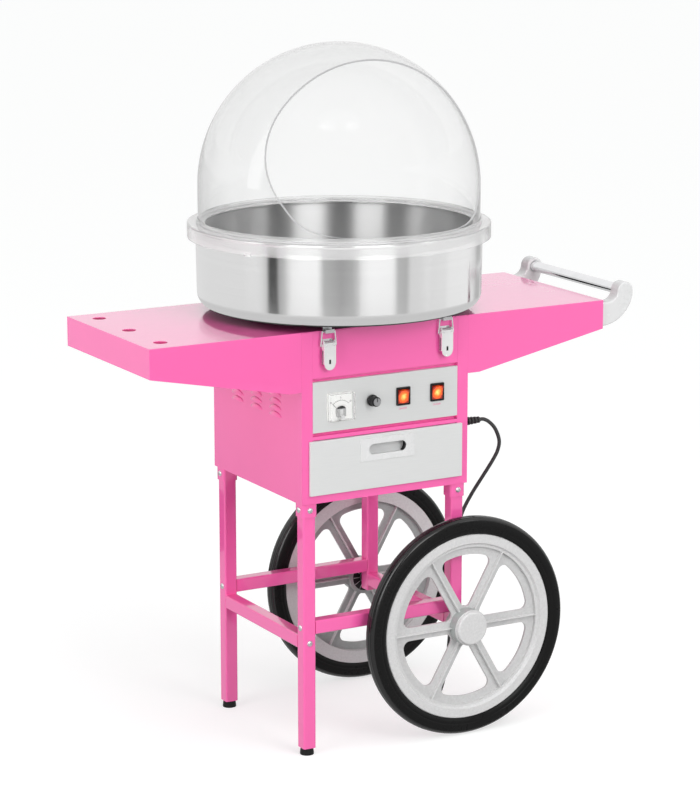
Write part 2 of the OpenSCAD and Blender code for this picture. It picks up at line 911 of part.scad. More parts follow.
// Push handle on the right wing's end: two horn-shaped brackets and a tube
module handle_bracket() {
    bar = [wing_end_x + bar_out, top_z + bar_up];
    low = top_z - bracket_root;
    outline = concat(
        oval([wing_end_x, bar[1]], bar_out + bracket_nose, bar[1] - low, -90, 0, 16),
        arc(bar, bracket_nose, 0, 180, 12),
        oval([wing_end_x + bracket_step, bar[1]], bar_out - bracket_nose - bracket_step,
            bracket_neck, 0, -90, 10),
        [[wing_end_x, bar[1] - bracket_neck]]);
    mid_y = cab_d / 2 - bracket_edge - bracket_w / 2;
    difference() {
        translate([0, mid_y, 0]) along_y(bracket_w) polygon(outline);
        translate([bar[0], 0, bar[1]]) rotate([-90, 0, 0])
            cylinder(d = bar_d + 2 * fit, h = mid_y - bracket_w / 2 + bar_seat);
        handle_screws(bolt_r + fit);
    }
}
module handle_brackets() color(white) place() both([0, 1, 0]) handle_bracket();
module handle_bar() {
    l = cab_d - 2 * (bracket_edge + bracket_w - bar_seat);
    color(chrome) place() translate([wing_end_x + bar_out, 0, top_z + bar_up]) rotate([90, 0, 0])
        difference() {
            cylinder(d = bar_d, h = l, center = true);
            cylinder(d = bar_d - 2 * bar_wall, h = l + overrun, center = true);
        }
}

// Bowl on its rubber seat, with hooked catches under its floor for the latches
module bowl_seat() {
    color(black) place() translate([0, 0, top_z]) difference() {
        cylinder(r = seat_out_r, h = bowl_lift, $fn = 128);
        translate([0, 0, -overrun]) cylinder(r = seat_in_r, h = bowl_lift + 2 * overrun, $fn = 128);
    }
}
module bowl() {
    inner = bowl_round - bowl_wall;
    bend = [bowl_r - bowl_round, bowl_round];
    bead = [bowl_r, bowl_h];
    profile = concat(
        [[bowl_hole_r, 0]],
        arc(bend, bowl_round, -90, 0, 10),
        arc(bead, bead_r, -60, 180, 16),
        [[bowl_r - bowl_wall, bowl_h - bead_r]],
        arc(bend, inner, 0, -90, 10),
        [[bowl_hole_r + bowl_wall, bowl_wall], [bowl_hole_r + bowl_wall, bowl_collar_h],
         [bowl_hole_r, bowl_collar_h]]);
    color(steel) place() translate([0, 0, bowl_z]) rotate_extrude($fn = 128) polygon(profile);
}
// Each latch is built on the front, right of the middle, and mirrored to its place
module at_latch(x, y) place() mirror([x < 0 ? 1 : 0, 0, 0]) mirror([0, y > 0 ? 1 : 0, 0])
    translate([latch_x, front_y, top_z - pivot_drop]) children();
module bowl_catches() {
    floor = bail_rise - wire_r - clear;
    roof = pivot_drop + bowl_lift;
    leg = catch_in + catch_t;
    path = [
        [catch_foot, roof],
        [-leg, roof],
        [-leg, floor],
        [catch_t - catch_reach, floor],
        [catch_t - catch_reach, floor + catch_lip]
    ];
    color(steel) for (x = [-1, 1], y = [-1, 1]) at_latch(x, y)
        along_x(catch_w) polygon(folded(path, catch_t));
}
module latch_bases() {
    ear = concat(
        arc([-pivot_out, 0], ear_r, 60, 300, 14),
        [[-base_t, -ear_foot], [-base_t, ear_foot]]);
    side = lever_w / 2 - lever_t - clear;
    color(chrome) for (x = [-1, 1], y = [-1, 1]) at_latch(x, y) {
        box([-side, -base_t, -base_low], [side, 0, base_high]);
        for (s = [-1, 1]) translate([s * (side - ear_t / 2), 0, 0]) along_x(ear_t) polygon(ear);
        translate([0, -pivot_out, 0]) rotate([0, 90, 0])
            cylinder(r = latch_pin_r, h = lever_w + 2 * clear, center = true);
    }
}
// Lever: a round-ended plate with two cheeks that carry the pivot and the bail
module lever() {
    plate = concat(
        [[lever_w / 2, 0], [-lever_w / 2, 0]],
        arc([0, lever_end_r - lever_l], lever_end_r, 180, 360, 16));
    cheek = concat(
        arc([0, 0], cheek_r, 60, 200, 10),
        [[-cheek_r, -cheek_low], [0, -cheek_low - bail_pivot],
         [cheek_out - flange_in, -cheek_low - bail_pivot], [cheek_out - flange_in, lever_end_r - lever_l],
         [cheek_out, lever_end_r - lever_l], [cheek_out, 0]]);
    turned = [for (q = cheek) [-q[0], q[1]]];
    translate([0, -pivot_out, 0]) difference() {
        union() {
            translate([0, lever_t - cheek_out, 0]) rotate([90, 0, 0])
                linear_extrude(lever_t) polygon(plate);
            for (s = [-1, 1]) translate([s * (lever_w - lever_t) / 2, 0, 0])
                along_x(lever_t) polygon(turned);
        }
        rotate([0, 90, 0]) cylinder(r = latch_pin_r + fit, h = lever_w + overrun, center = true);
        translate([0, bail_over, -bail_pivot]) rotate([0, 90, 0])
            cylinder(r = wire_r + fit, h = lever_w + overrun, center = true);
        translate([0, 0, -lever_hole_z]) along_y(2 * cheek_out + overrun)
            square([lever_hole_w, lever_hole_h], center = true);
    }
}
// Bail: a wire loop from the lever's cheeks over the catch
module rod(a, b) {
    d = b - a;
    translate(a) rotate([0, atan2(d[0], d[2]), 0]) cylinder(r = wire_r, h = norm(d));
}
module bail() {
    inner = lever_w / 2 - lever_t + fit;
    foot = [bail_side, 0, -bail_pivot];
    top = [bail_top, 0, bail_rise];
    translate([0, bail_over - pivot_out, 0]) {
        both([1, 0, 0]) {
            rod([inner, 0, -bail_pivot], foot);
            translate(foot) sphere(r = wire_r + fit);
            rod(foot, top);
            translate(top) sphere(r = wire_r + fit);
        }
        rod([-bail_top, 0, bail_rise], top);
    }
}
module front_left_lever() color(chrome) at_latch(-1, -1) lever();
module front_right_lever() color(chrome) at_latch(1, -1) lever();
module back_left_lever() color(chrome) at_latch(-1, 1) lever();
module back_right_lever() color(chrome) at_latch(1, 1) lever();
module front_left_bail() color(chrome) at_latch(-1, -1) bail();
module front_right_bail() color(chrome) at_latch(1, -1) bail();
module back_left_bail() color(chrome) at_latch(-1, 1) bail();
module back_right_bail() color(chrome) at_latch(1, 1) bail();

// Dome: a clear bell with a mouth cut through its front
module dome() {
    inner = dome_r - dome_wall;
    bell = concat(
        [[inner, 0], [dome_r, 0]],
        arc([0, dome_straight], dome_r, 0, 90, 30),
        arc([0, dome_straight], inner, 90, 0, 30));
    top = dome_straight + dome_r + overrun;
    bend = [-mouth_y, dome_straight + mouth_bend];
    sill = [-mouth_foot_y, mouth_sill];
    mouth = concat(
        [[-mouth_y, top]],
        corner([-mouth_y, top], bend, sill, mouth_bend_round),
        corner(bend, sill, [-ring_r, mouth_sill], mouth_sill_round),
        [[-ring_r, mouth_sill], [-ring_r, top]]);
    color(clear_plastic) place() translate([0, 0, dome_z]) difference() {
        rotate_extrude($fn = 128) polygon(bell);
        along_x(2 * ring_r) polygon(mouth);
    }
}
module dome_ring() {
    profile = [
        [ring_in_r, -ring_t],
        [ring_r - ring_t, -ring_t],
        [ring_r - ring_t, -ring_h],
        [ring_r, -ring_h],
        [ring_r, -ring_t / 2],
        [ring_r - ring_t / 2, 0],
        [collar_r, 0],
        [collar_r, collar_h],
        [collar_in_r, collar_h],
        [collar_in_r, 0],
        [ring_in_r, 0]
    ];
    color(clear_plastic) place() translate([0, 0, ring_top]) {
        rotate_extrude($fn = 128) polygon(profile);
        for (a = [clip_turn, 180 - clip_turn, 180 + clip_turn, -clip_turn]) rotate(a)
            box([ring_r - clip_t, -clip_w / 2, -ring_h - clip_h / 2],
                [ring_r - ring_t / 2, clip_w / 2, clip_h / 2 - ring_h]);
    }
}

// Spinner: pan, slotted heater band and cap on a shaft with two slip rings
module spinner_base() {
    pan = [
        [shaft_r + fit, 0],
        [head_r, 0],
        [head_r, pan_h],
        [head_r - pan_wall, pan_h],
        [head_r - pan_wall, pan_wall],
        [head_core_r, pan_wall],
        [head_core_r, pan_h],
        [shaft_r + fit, pan_h]
    ];
    color(steel) place() translate([0, 0, head_z]) rotate_extrude() polygon(pan);
}
module spinner_band() {
    outer = head_r - pan_wall - fit;
    color(steel) place() translate([0, 0, head_z + pan_wall]) difference() {
        cylinder(r = outer, h = band_h);
        translate([0, 0, -overrun]) cylinder(r = outer - band_t, h = band_h + 2 * overrun);
        for (i = [0:band_slots - 1]) rotate(i * 360 / band_slots)
            box([head_core_r, -band_slot_w / 2, pan_h],
                [head_r + overrun, band_slot_w / 2, band_h - band_slot_w]);
    }
}
module spinner_cap() {
    low = head_z + pan_wall + band_h;
    cap = concat(
        [[shaft_r + fit, 0], [head_r, 0]],
        oval([0, pan_wall], head_r, head_cap_h - pan_wall, 0, 75, 10),
        [[shaft_r + fit, head_cap_h]]);
    color(steel) place() translate([0, 0, low]) rotate_extrude() polygon(cap);
}
module spinner_shaft() {
    top = head_z + pan_wall + band_h + head_cap_h;
    color(brass) place() {
        translate([0, 0, shaft_low]) cylinder(r = shaft_r, h = top - shaft_low);
        for (i = [0, 1]) translate([0, 0, slip_z + i * (slip_h + slip_gap)])
            cylinder(r = slip_r, h = slip_h);
    }
}
module motor_body() {
    low = motor_top - motor_l;
    body = [
        [0, low],
        [motor_r - motor_cap_h / 2, low],
        [motor_r, low + motor_cap_h / 2],
        [motor_r, motor_top - motor_flange_h],
        [motor_flange_r, motor_top - motor_flange_h],
        [motor_flange_r, motor_top],
        [0, motor_top]
    ];
    color(black) place() difference() {
        union() {
            rotate_extrude() polygon(body);
            for (i = [0:3]) rotate(45 + 90 * i) translate([motor_r, 0, motor_top - motor_flange_h / 2])
                cylinder(r = pillar_r, h = motor_gap + motor_flange_h / 2);
        }
        translate([0, 0, shaft_low - clear]) cylinder(r = shaft_r + fit, h = motor_l);
        for (i = [0:motor_fin_n - 1]) rotate(i * 360 / motor_fin_n)
            box([motor_r - motor_fin_d, -motor_fin_w / 2, low + motor_cap_h],
                [motor_r + overrun, motor_fin_w / 2, motor_top - motor_cap_h]);
    }
}
module brush_holder() {
    from = slip_r + clear;
    color(brass) place() {
        for (i = [0, 1]) translate([0, 0, slip_z + i * (slip_h + slip_gap)])
            box([from, -brush_w / 2, 0], [from + brush_l, brush_w / 2, slip_h]);
        box([from + brush_l, -brush_w, slip_z], [from + brush_l + brush_board_t, brush_w, top_z - sheet]);
    }
}

// Instruments. Each is drawn face up and turned to the front panel
module at_control(x, rise) place() at_front() translate([x, controls_z + rise, 0]) children();
module meter_case() {
    color(black) at_control(meter_x, -meter_drop) difference() {
        union() {
            linear_extrude(meter_flange) polygon(rounded(meter_w, meter_w, meter_cover_t));
            translate([0, 0, -meter_body_l]) cylinder(r = meter_body_r, h = meter_body_l);
            intersection() {
                translate([0, -meter_pivot_drop, 0]) cylinder(r = meter_hump_r, h = meter_flange + fit);
                translate([-meter_w / 2, -meter_pivot_drop - meter_hump_r, 0])
                    cube([meter_w, meter_hump_r, 2 * meter_flange]);
            }
        }
        translate([0, -meter_pivot_drop, -meter_pocket])
            cylinder(r = needle_pin_r + fit, h = 3 * meter_flange);
    }
}
module meter_cover() {
    inner = meter_w - 2 * meter_cover_t;
    color(clear_plastic) at_control(meter_x, -meter_drop) translate([0, 0, meter_flange]) difference() {
        linear_extrude(meter_cover_h) polygon(rounded(meter_w, meter_w, meter_cover_t));
        translate([0, 0, -overrun]) linear_extrude(meter_cover_h - meter_cover_t + overrun)
            polygon(rounded(inner, inner, meter_cover_t / 2));
    }
}
module meter_needle() {
    pivot = [0, -meter_pivot_drop, meter_flange + meter_pocket];
    color(black) at_control(meter_x, -meter_drop) translate(pivot) {
        rotate(needle_rest) linear_extrude(needle_t)
            polygon([[needle_w, 0], [needle_tip_w, needle_l], [-needle_tip_w, needle_l], [-needle_w, 0]]);
        cylinder(r = needle_hub_r, h = needle_t);
        translate([0, 0, -needle_pin_l]) cylinder(r = needle_pin_r, h = needle_pin_l);
    }
}
module pot_body() {
    color(black) at_control(knob_x, knob_rise) difference() {
        union() {
            translate([0, 0, -channel_d - pot_l]) cylinder(r = pot_r, h = pot_l + channel_d - sheet);
            translate([0, 0, -channel_d]) cylinder(r = pot_bush_r, h = channel_d + sheet);
            box([-pot_tab_w / 2, -pot_r - pot_bush_l, -channel_d - pot_l],
                [pot_tab_w / 2, 0, sheet - channel_d - pot_l]);
        }
        translate([0, 0, -stem_l - clear]) cylinder(r = stem_r + fit, h = 2 * stem_l);
    }
}
module knob() {
    profile = concat(
        [[0, 0], [knob_r, 0], [knob_r, knob_skirt], [knob_grip_r, knob_skirt + knob_groove_r]],
        arc([knob_grip_r - knob_groove_r, knob_l - knob_groove_r], knob_groove_r, 0, 90, 4),
        [[0, knob_l]]);
    color(black) at_control(knob_x, knob_rise) translate([0, 0, sheet + clear]) difference() {
        union() {
            rotate_extrude() polygon(profile);
            translate([0, 0, -stem_l]) cylinder(r = stem_r, h = stem_l + knob_skirt);
        }
        for (i = [0:knob_groove_n - 1]) rotate(i * 360 / knob_groove_n)
            translate([knob_grip_r + knob_groove_r / 2, 0, 2 * knob_skirt])
                cylinder(r = knob_groove_r, h = knob_l);
    }
}
module knob_cap() {
    color(chrome) at_control(knob_x, knob_rise) translate([0, 0, sheet + clear + knob_l]) difference() {
        cylinder(r = knob_cap_r, h = knob_cap_h);
        box([-knob_slot_w / 2, 0, knob_cap_h - knob_slot_d],
            [knob_slot_w / 2, knob_r, knob_cap_h + overrun]);
    }
}
module switch_housing() {
    inner = [switch_w - 2 * bezel_rim, switch_h - 2 * bezel_rim];
    outer = inner + 2 * [switch_wall, switch_wall];
    difference() {
        union() {
            linear_extrude(bezel_t) polygon(rounded(switch_w, switch_h, bezel_rim / 2));
            translate([0, 0, -switch_depth]) linear_extrude(switch_depth) square(outer, center = true);
        }
        translate([0, 0, switch_floor - switch_depth]) linear_extrude(switch_depth + overrun)
            square(inner, center = true);
        translate([0, 0, -rocker_pivot]) rotate([0, 90, 0])
            cylinder(r = trunnion_r + fit, h = switch_w + overrun, center = true);
    }
}
module switch_housings() color(black) for (x = switch_xs) at_control(x, switch_rise) switch_housing();
module rocker() {
    w = switch_w - 2 * bezel_rim - 2 * rocker_side;
    side = [
        [rocker_tip, rocker_half],
        [rocker_dip, 0],
        [rocker_tip, -rocker_half],
        [0, -rocker_half],
        [-rocker_back, -rocker_half / 4],
        [-rocker_back, rocker_half / 4],
        [0, rocker_half]
    ];
    translate([0, 0, -rocker_pivot]) rotate([rocker_tilt, 0, 0]) {
        rotate([90, 0, 90]) linear_extrude(w, center = true) polygon([for (q = side) [q[1], q[0]]]);
        rotate([0, 90, 0]) cylinder(r = trunnion_r, h = w + 2 * (rocker_side + switch_wall), center = true);
    }
}
module fan_rocker() color(amber) at_control(switch_xs[0], switch_rise) rocker();
module heat_rocker() color(amber) at_control(switch_xs[1], switch_rise) rocker();

// Drawer: runners, a folded box, an overlaid front and a recessed pull
box_front = front_y - front_t + sheet - clear;
pull_z = cab_base + sill_h + drawer_open_h - front_gap - pull_drop - pull_h / 2;
module drawer_runners() {
    path = [
        [box_w / 2 - runner_in, box_z - clear - runner_t],
        [cab_w / 2 - sheet, box_z - clear - runner_t],
        [cab_w / 2 - sheet, box_z - clear + runner_h]
    ];
    l = cab_d - 2 * sheet - 2 * clear;
    color(steel) place() both([1, 0, 0]) along_y(l) polygon(folded(path, runner_t));
}
module drawer_box() {
    color(brushed) place() translate([0, box_front + box_d / 2, box_z]) difference() {
        linear_extrude(box_h) polygon(rounded(box_w, box_d, 2 * sheet));
        translate([0, 0, sheet]) linear_extrude(box_h)
            polygon(rounded(box_w - 2 * sheet, box_d - 2 * sheet, sheet));
        translate([0, -box_d / 2, pull_z - box_z]) along_y(2 * overrun)
            polygon(slot(slot_w + 2 * cup_rim + 2 * clear, slot_h + 2 * cup_rim + 2 * clear));
    }
}
module drawer_front() {
    h = drawer_open_h - 2 * front_gap;
    middle = [0, front_y, rail_z - front_gap - h / 2];
    color(brushed) place() translate(middle) rotate([90, 0, 0]) difference() {
        translate([0, 0, clear]) linear_extrude(front_t) polygon(rounded(front_w, h, sheet));
        translate([0, 0, -overrun]) linear_extrude(front_t + overrun + clear - sheet)
            polygon(rounded(front_w - 2 * sheet, h - 2 * sheet, sheet / 2));
        translate([0, pull_z - rail_z + front_gap + h / 2, 0]) linear_extrude(2 * front_t)
            polygon(slot(slot_w + 2 * cup_rim + 2 * clear, slot_h + 2 * cup_rim + 2 * clear));
    }
}
module drawer_pull() {
    cup_w = slot_w + 2 * cup_rim;
    cup_h = slot_h + 2 * cup_rim;
    color(white) place() translate([0, front_y - front_t - clear, pull_z]) rotate([90, 0, 0]) difference() {
        union() {
            linear_extrude(pull_t) polygon(rounded(pull_w, pull_h, pull_t));
            translate([0, 0, -cup_d]) linear_extrude(cup_d + pull_t / 2) polygon(slot(cup_w, cup_h));
        }
        translate([0, 0, cup_wall - cup_d]) linear_extrude(cup_d - cup_wall)
            polygon(slot(cup_w - 2 * cup_wall, cup_h - 2 * cup_wall));
        translate([0, 0, -cup_wall]) linear_extrude(pull_t + overrun) polygon(slot(slot_w, slot_h));
    }
}

// Cord: strain relief, lead, coil, tie and plug
module cord_gland() {
    step = boot_l / (2 * boot_rings + 1);
    boot = [for (i = [0:boot_rings], k = [0, 1, 2, 3]) let (
        x = step * (2 * i + floor(k / 2)),
        r = boot_r + (boot_tip_r - boot_r) * x / boot_l)
        [r - (k % 3 == 0 && i > 0 ? boot_ring_d : 0), x]];
    color(black) place() translate([cab_w / 2, gland_y, gland_z]) rotate([0, 90, 0]) {
        cylinder(r = gland_r, h = gland_flange);
        rotate_extrude() polygon(concat([[0, 0]], boot, [[0, boot_l]]));
        translate([0, 0, -sheet]) cylinder(r = gland_thread_r, h = sheet);
        translate([0, 0, -sheet - gland_nut_h]) cylinder(r = gland_nut_r, h = gland_nut_h, $fn = 6);
    }
}
module cord_lead() color(black) tube(smooth(route, 2), cord_r, cord_sides);

// The coil's turns run in along the floor, climb in half a turn and run out on top
function ease(t) = t * t * (3 - 2 * t);
function coil_radius(t) = coil_r - coil_pitch * min(t, coil_turns - t);
function coil_level(t) = coil_z + coil_step_z * ease(min(max(2 * t - coil_turns + 0.5, 0), 1));
coil_end = 180 + 360 * coil_turns;
coil_out = [-sin(coil_end), cos(coil_end)];
coil_last = [coil_x, coil_y] + coil_r * [cos(coil_end), sin(coil_end)];
function tail_point(s) = let (
    low = coil_level(coil_turns),
    climb = min(s * tail_l / (tail_l - cord_d), 1),
    flat = coil_last + s * tail_l * coil_out)
    [flat[0], flat[1], low + (plug_z - low) * ease(climb)];
coil_line = concat(
    [coil_start],
    [for (i = [0:coil_turns * coil_steps]) let (
        t = i / coil_steps,
        a = 180 + 360 * t,
        r = coil_radius(t))
        [coil_x + r * cos(a), coil_y + r * sin(a), coil_level(t)]],
    [for (s = [0.25, 0.5, 0.8, 1]) tail_point(s)]);
coil_gap = min([for (i = [0:len(coil_line) - 1], k = [i + 8:1:len(coil_line) - 1])
    norm(coil_line[i] - coil_line[k])]) - cord_d;
module cord_coil() {
    echo(coil_gap = coil_gap);
    color(black) tube(coil_line, cord_r, coil_sides);
}
// A flat band round the whole bundle on its back side
module cord_tie() {
    low = floor_gap;
    high = coil_z + coil_step_z + cord_r + clear + tie_t;
    from = coil_in_r - cord_r - clear - tie_t;
    to = coil_r + cord_r + clear + tie_t;
    mid = [(from + to) / 2, (low + high) / 2];
    color(black) translate([coil_x, coil_y, 0]) rotate([90, 0, 90]) linear_extrude(tie_w, center = true)
        translate(mid) difference() {
            polygon(rounded(to - from, high - low, 2 * tie_t));
            polygon(rounded(to - from - 2 * tie_t, high - low - 2 * tie_t, tie_t));
        }
}
module cord_plug() {
    start = tail_point(1);
    body = concat(
        [[0, 0], [plug_neck_r, 0], [plug_waist_r, plug_neck_l * plug_waist_share], [plug_r, plug_neck_l]],
        [[plug_r, plug_neck_l + plug_l], [0, plug_neck_l + plug_l]]);
    color(black) translate(start) rotate([0, 90, 0]) difference() {
        union() {
            rotate_extrude() polygon(body);
            both([0, 1, 0]) translate([0, plug_pin_gap / 2, plug_neck_l])
                cylinder(r = plug_pin_r, h = plug_l + plug_pin_l);
        }
        both([0, 1, 0]) translate([-plug_r, plug_r - plug_side_flat / 2, plug_neck_l * plug_flat_share])
            cube([2 * plug_r, plug_side_flat, plug_l + plug_neck_l]);
    }
}

cabinet_shell();
front_panel();
top_deck();
control_panel();
left_wing();
right_wing();
leg_sockets();
long_legs();
short_legs();
leg_rails();
leg_feet();
frame_bolts();
wheel_axle();
axle_spacers();
handle_brackets();
handle_bar();
bowl_seat();
bowl();
bowl_catches();
motor_body();
brush_holder();
meter_case();
meter_cover();
pot_body();
switch_housings();
drawer_runners();
latch_bases();
cord_gland();
cord_lead();
cord_coil();
cord_tie();
cord_plug();
front_wheel();
front_tyre();
front_hub_cap();
rear_wheel();
rear_tyre();
rear_hub_cap();
dome();
dome_ring();
spinner_base();
spinner_cap();
spinner_band();
spinner_shaft();
meter_needle();
knob();
knob_cap();
fan_rocker();
heat_rocker();
drawer_box();
drawer_front();
drawer_pull();
front_left_lever();
front_right_lever();
back_left_lever();
back_right_lever();
front_left_bail();
front_right_bail();
back_left_bail();
back_right_bail();
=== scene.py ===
"""Cotton candy cart: finished pieces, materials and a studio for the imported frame."""

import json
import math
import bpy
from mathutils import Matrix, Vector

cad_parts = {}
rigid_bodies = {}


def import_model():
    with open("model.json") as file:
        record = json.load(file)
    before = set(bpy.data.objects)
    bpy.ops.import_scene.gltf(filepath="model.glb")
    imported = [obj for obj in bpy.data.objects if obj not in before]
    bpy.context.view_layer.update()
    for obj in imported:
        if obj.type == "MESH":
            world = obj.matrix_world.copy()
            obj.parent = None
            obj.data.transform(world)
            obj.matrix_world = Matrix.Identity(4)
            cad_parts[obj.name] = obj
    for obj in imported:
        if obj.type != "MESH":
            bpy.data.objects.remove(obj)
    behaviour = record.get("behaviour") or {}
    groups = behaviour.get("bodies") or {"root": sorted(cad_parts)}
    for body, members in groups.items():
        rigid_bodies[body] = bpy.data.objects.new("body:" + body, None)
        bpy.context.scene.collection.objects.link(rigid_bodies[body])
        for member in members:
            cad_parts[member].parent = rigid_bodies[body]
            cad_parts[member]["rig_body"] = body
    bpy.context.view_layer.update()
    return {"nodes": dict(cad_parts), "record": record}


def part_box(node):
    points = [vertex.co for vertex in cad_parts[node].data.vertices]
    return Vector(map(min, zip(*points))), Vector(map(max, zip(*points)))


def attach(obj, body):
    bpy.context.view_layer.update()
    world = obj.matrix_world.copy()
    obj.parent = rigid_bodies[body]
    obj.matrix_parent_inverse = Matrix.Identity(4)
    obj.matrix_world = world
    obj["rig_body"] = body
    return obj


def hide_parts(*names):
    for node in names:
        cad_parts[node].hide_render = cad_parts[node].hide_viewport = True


bl_info = {
    "name": "Cotton Candy Cart",
    "version": (1, 0, 0),
    "blender": (4, 5, 0),
    "location": "View3D > Sidebar > Cart",
    "description": "Dresses the cotton candy cart's frame with finished pieces and materials",
    "category": "Object",
}

import bmesh
import bpy
from bpy.props import FloatProperty, FloatVectorProperty, IntProperty, PointerProperty
from mathutils import Matrix, Vector

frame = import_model()


def middle(node):
    """The middle of a CAD node's box."""
    low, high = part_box(node)
    return (low + high) / 2


SHELL_LOW, SHELL_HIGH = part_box("cabinet_shell")
CART_X = middle("cabinet_shell").x
TOP_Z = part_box("left_wing")[1].z
CORNERS = ("front_left", "front_right", "back_left", "back_right")
ALONG_Y, ALONG_Z = (0, 1, 0), (0, 0, 1)
FACING_FRONT = (math.pi / 2, 0, 0)
WHITE = (1, 1, 1, 1)
THIN_EDGE, FINE_EDGE, SMALL_EDGE, CASE_EDGE, SOFT_EDGE = 0.0002, 0.0003, 0.0004, 0.0005, 0.0006

CAMERA_PLACE = (-2.54875, -4.4877, 1.7583)
CAMERA_TILT, CAMERA_YAW = math.radians(77.4408), math.radians(29.4746)
CAMERA_LENS = 128.464


# ---------------------------------------------------------------- sizes and colours


def length_setting(name, description, default):
    """A length that the panel shows."""
    return FloatProperty(name=name, description=description, default=default, unit="LENGTH")


def colour_setting(name, description, default):
    """A colour that the panel shows."""
    return FloatVectorProperty(name=name, description=description, default=default,
                               subtype="COLOR", size=3, min=0, max=1)


class CartSizes(bpy.types.PropertyGroup):
    """Sizes of the finished pieces."""

    sheet_edge: length_setting("Sheet edge", "Round on the edges of sheet metal", 0.0005)
    moulded_edge: length_setting("Moulded edge", "Round on the edges of mouldings", 0.0009)
    bracket_edge: length_setting("Bracket edge", "Round on the handle's horns", 0.0075)
    tyre_steps: IntProperty(name="Tyre steps", description="Steps round each tyre",
                            default=112, min=48, max=256)
    tyre_side: length_setting("Tyre half width", "Half the width of a tyre", 0.017)
    hood_out: length_setting("Louvre hood depth", "How far a louvre hood stands out", 0.0045)
    hood_rise: length_setting("Louvre hood height", "Height of a louvre hood", 0.0085)
    hood_half: length_setting("Louvre hood half length", "Half the length of a louvre hood", 0.0215)
    cord_diameter: length_setting("Cord diameter", "Outer diameter of the mains cord", 0.007)
    rivet_radius: length_setting("Rivet radius", "Radius of a latch rivet's head", 0.0017)


class CartColours(bpy.types.PropertyGroup):
    """Colours of the cart's finishes."""

    pink: colour_setting("Pink paint", "Powder coat on the sheet and tube", (0.93, 0.126, 0.42))
    plate: colour_setting("Satin plate", "Control panel and drawer", (0.69, 0.698, 0.694))
    steel: colour_setting("Bowl steel", "Turned stainless steel", (0.91, 0.91, 0.91))
    chrome: colour_setting("Chrome", "Latches and handle bar", (0.86, 0.86, 0.87))
    wheel: colour_setting("Wheel grey", "Moulded wheels and hub caps", (0.64, 0.64, 0.64))
    bracket: colour_setting("Bracket white", "Handle horns and drawer pull", (0.72, 0.725, 0.725))
    rubber: colour_setting("Rubber", "Tyres, feet and seat", (0.008, 0.008, 0.008))
    cord: colour_setting("Cord", "Jacket of the mains cord", (0.055, 0.055, 0.056))
    black: colour_setting("Black plastic", "Knob, bezels and plug", (0.015, 0.015, 0.016))
    lamp_rim: colour_setting("Lens rim", "Dark edge of a lit rocker", (0.20, 0.010, 0.004))
    lamp_body: colour_setting("Lens body", "Main colour of a lit rocker", (0.95, 0.11, 0.008))
    lamp_heart: colour_setting("Lens heart", "Bright middle of a lit rocker", (1.0, 0.55, 0.13))


class CartStudio(bpy.types.PropertyGroup):
    """Levels of the studio's light."""

    sky: FloatProperty(name="Sky", description="Soft light from all round", default=0.46, min=0)
    sun: FloatProperty(name="Overhead light", description="Strength of the broad light from above",
                       default=1.15, min=0)
    key: FloatProperty(name="Key lamp", description="Power of the lamp at the front right",
                       default=62, min=0, unit="POWER")
    fill: FloatProperty(name="Fill lamp", description="Power of the lamp at the left",
                        default=78, min=0, unit="POWER")
    mirrored: FloatProperty(name="Floor in reflections", description="Tone of the floor in glossy finishes",
                            default=0.66, min=0, max=1)
    floor: FloatProperty(name="Floor glow", description="Share of the floor that is seen white",
                         default=0.60, min=0, max=1)


# ---------------------------------------------------------------- workshop helpers


def activate(piece):
    """Leaves one piece selected and active."""
    bpy.ops.object.select_all(action="DESELECT")
    piece.select_set(True)
    bpy.context.view_layer.objects.active = piece


def new_object(name, operator, **settings):
    """What an adding operator makes, under its own name."""
    bpy.ops.object.select_all(action="DESELECT")
    operator(**settings)
    made = bpy.context.active_object
    made.name = name
    return made


def edit(piece, action="SELECT"):
    """Opens a piece in edit mode with everything or nothing selected."""
    activate(piece)
    bpy.ops.object.mode_set(mode="EDIT")
    bpy.ops.mesh.select_all(action=action)


def done():
    """Back to object mode."""
    bpy.ops.object.mode_set(mode="OBJECT")


def face_outward(merge=0.0):
    """Turns the whole mesh's faces outward, after merging doubles where asked, and leaves edit mode."""
    bpy.ops.mesh.select_all(action="SELECT")
    if merge:
        bpy.ops.mesh.remove_doubles(threshold=merge)
    bpy.ops.mesh.normals_make_consistent(inside=False)
    done()


def apply_modifier(piece, kind, **settings):
    """Adds one modifier to a piece and applies it."""
    activate(piece)
    modifier = piece.modifiers.new(kind.title(), kind)
    for key, value in settings.items():
        setattr(modifier, key, value)
    bpy.ops.object.modifier_apply(modifier=modifier.name)


def cut(piece, cutter):
    """Cuts a piece with a cutter; the cutter goes."""
    apply_modifier(piece, "BOOLEAN", object=cutter, solver="EXACT")
    bpy.data.objects.remove(cutter)


def join(pieces):
    """Joins pieces into the first of them."""
    activate(pieces[0])
    for piece in pieces[1:]:
        piece.select_set(True)
    if len(pieces) > 1:
        bpy.ops.object.join()
    return pieces[0]


def soften(piece, width, segments=2, angle=32):
    """Rounds the sharp edges of a piece."""
    apply_modifier(piece, "BEVEL", width=width, segments=segments, limit_method="ANGLE",
                   angle_limit=math.radians(angle), use_clamp_overlap=True, miter_outer="MITER_ARC")


def smooth(piece, angle=34):
    """Smooth shading up to a crease angle."""
    activate(piece)
    bpy.ops.object.shade_smooth_by_angle(angle=math.radians(angle))
    apply_modifier(piece, "WEIGHTED_NORMAL", keep_sharp=True)


def settle(piece):
    """Puts a piece's place into its mesh."""
    activate(piece)
    bpy.ops.object.transform_apply(location=True, rotation=True, scale=True)


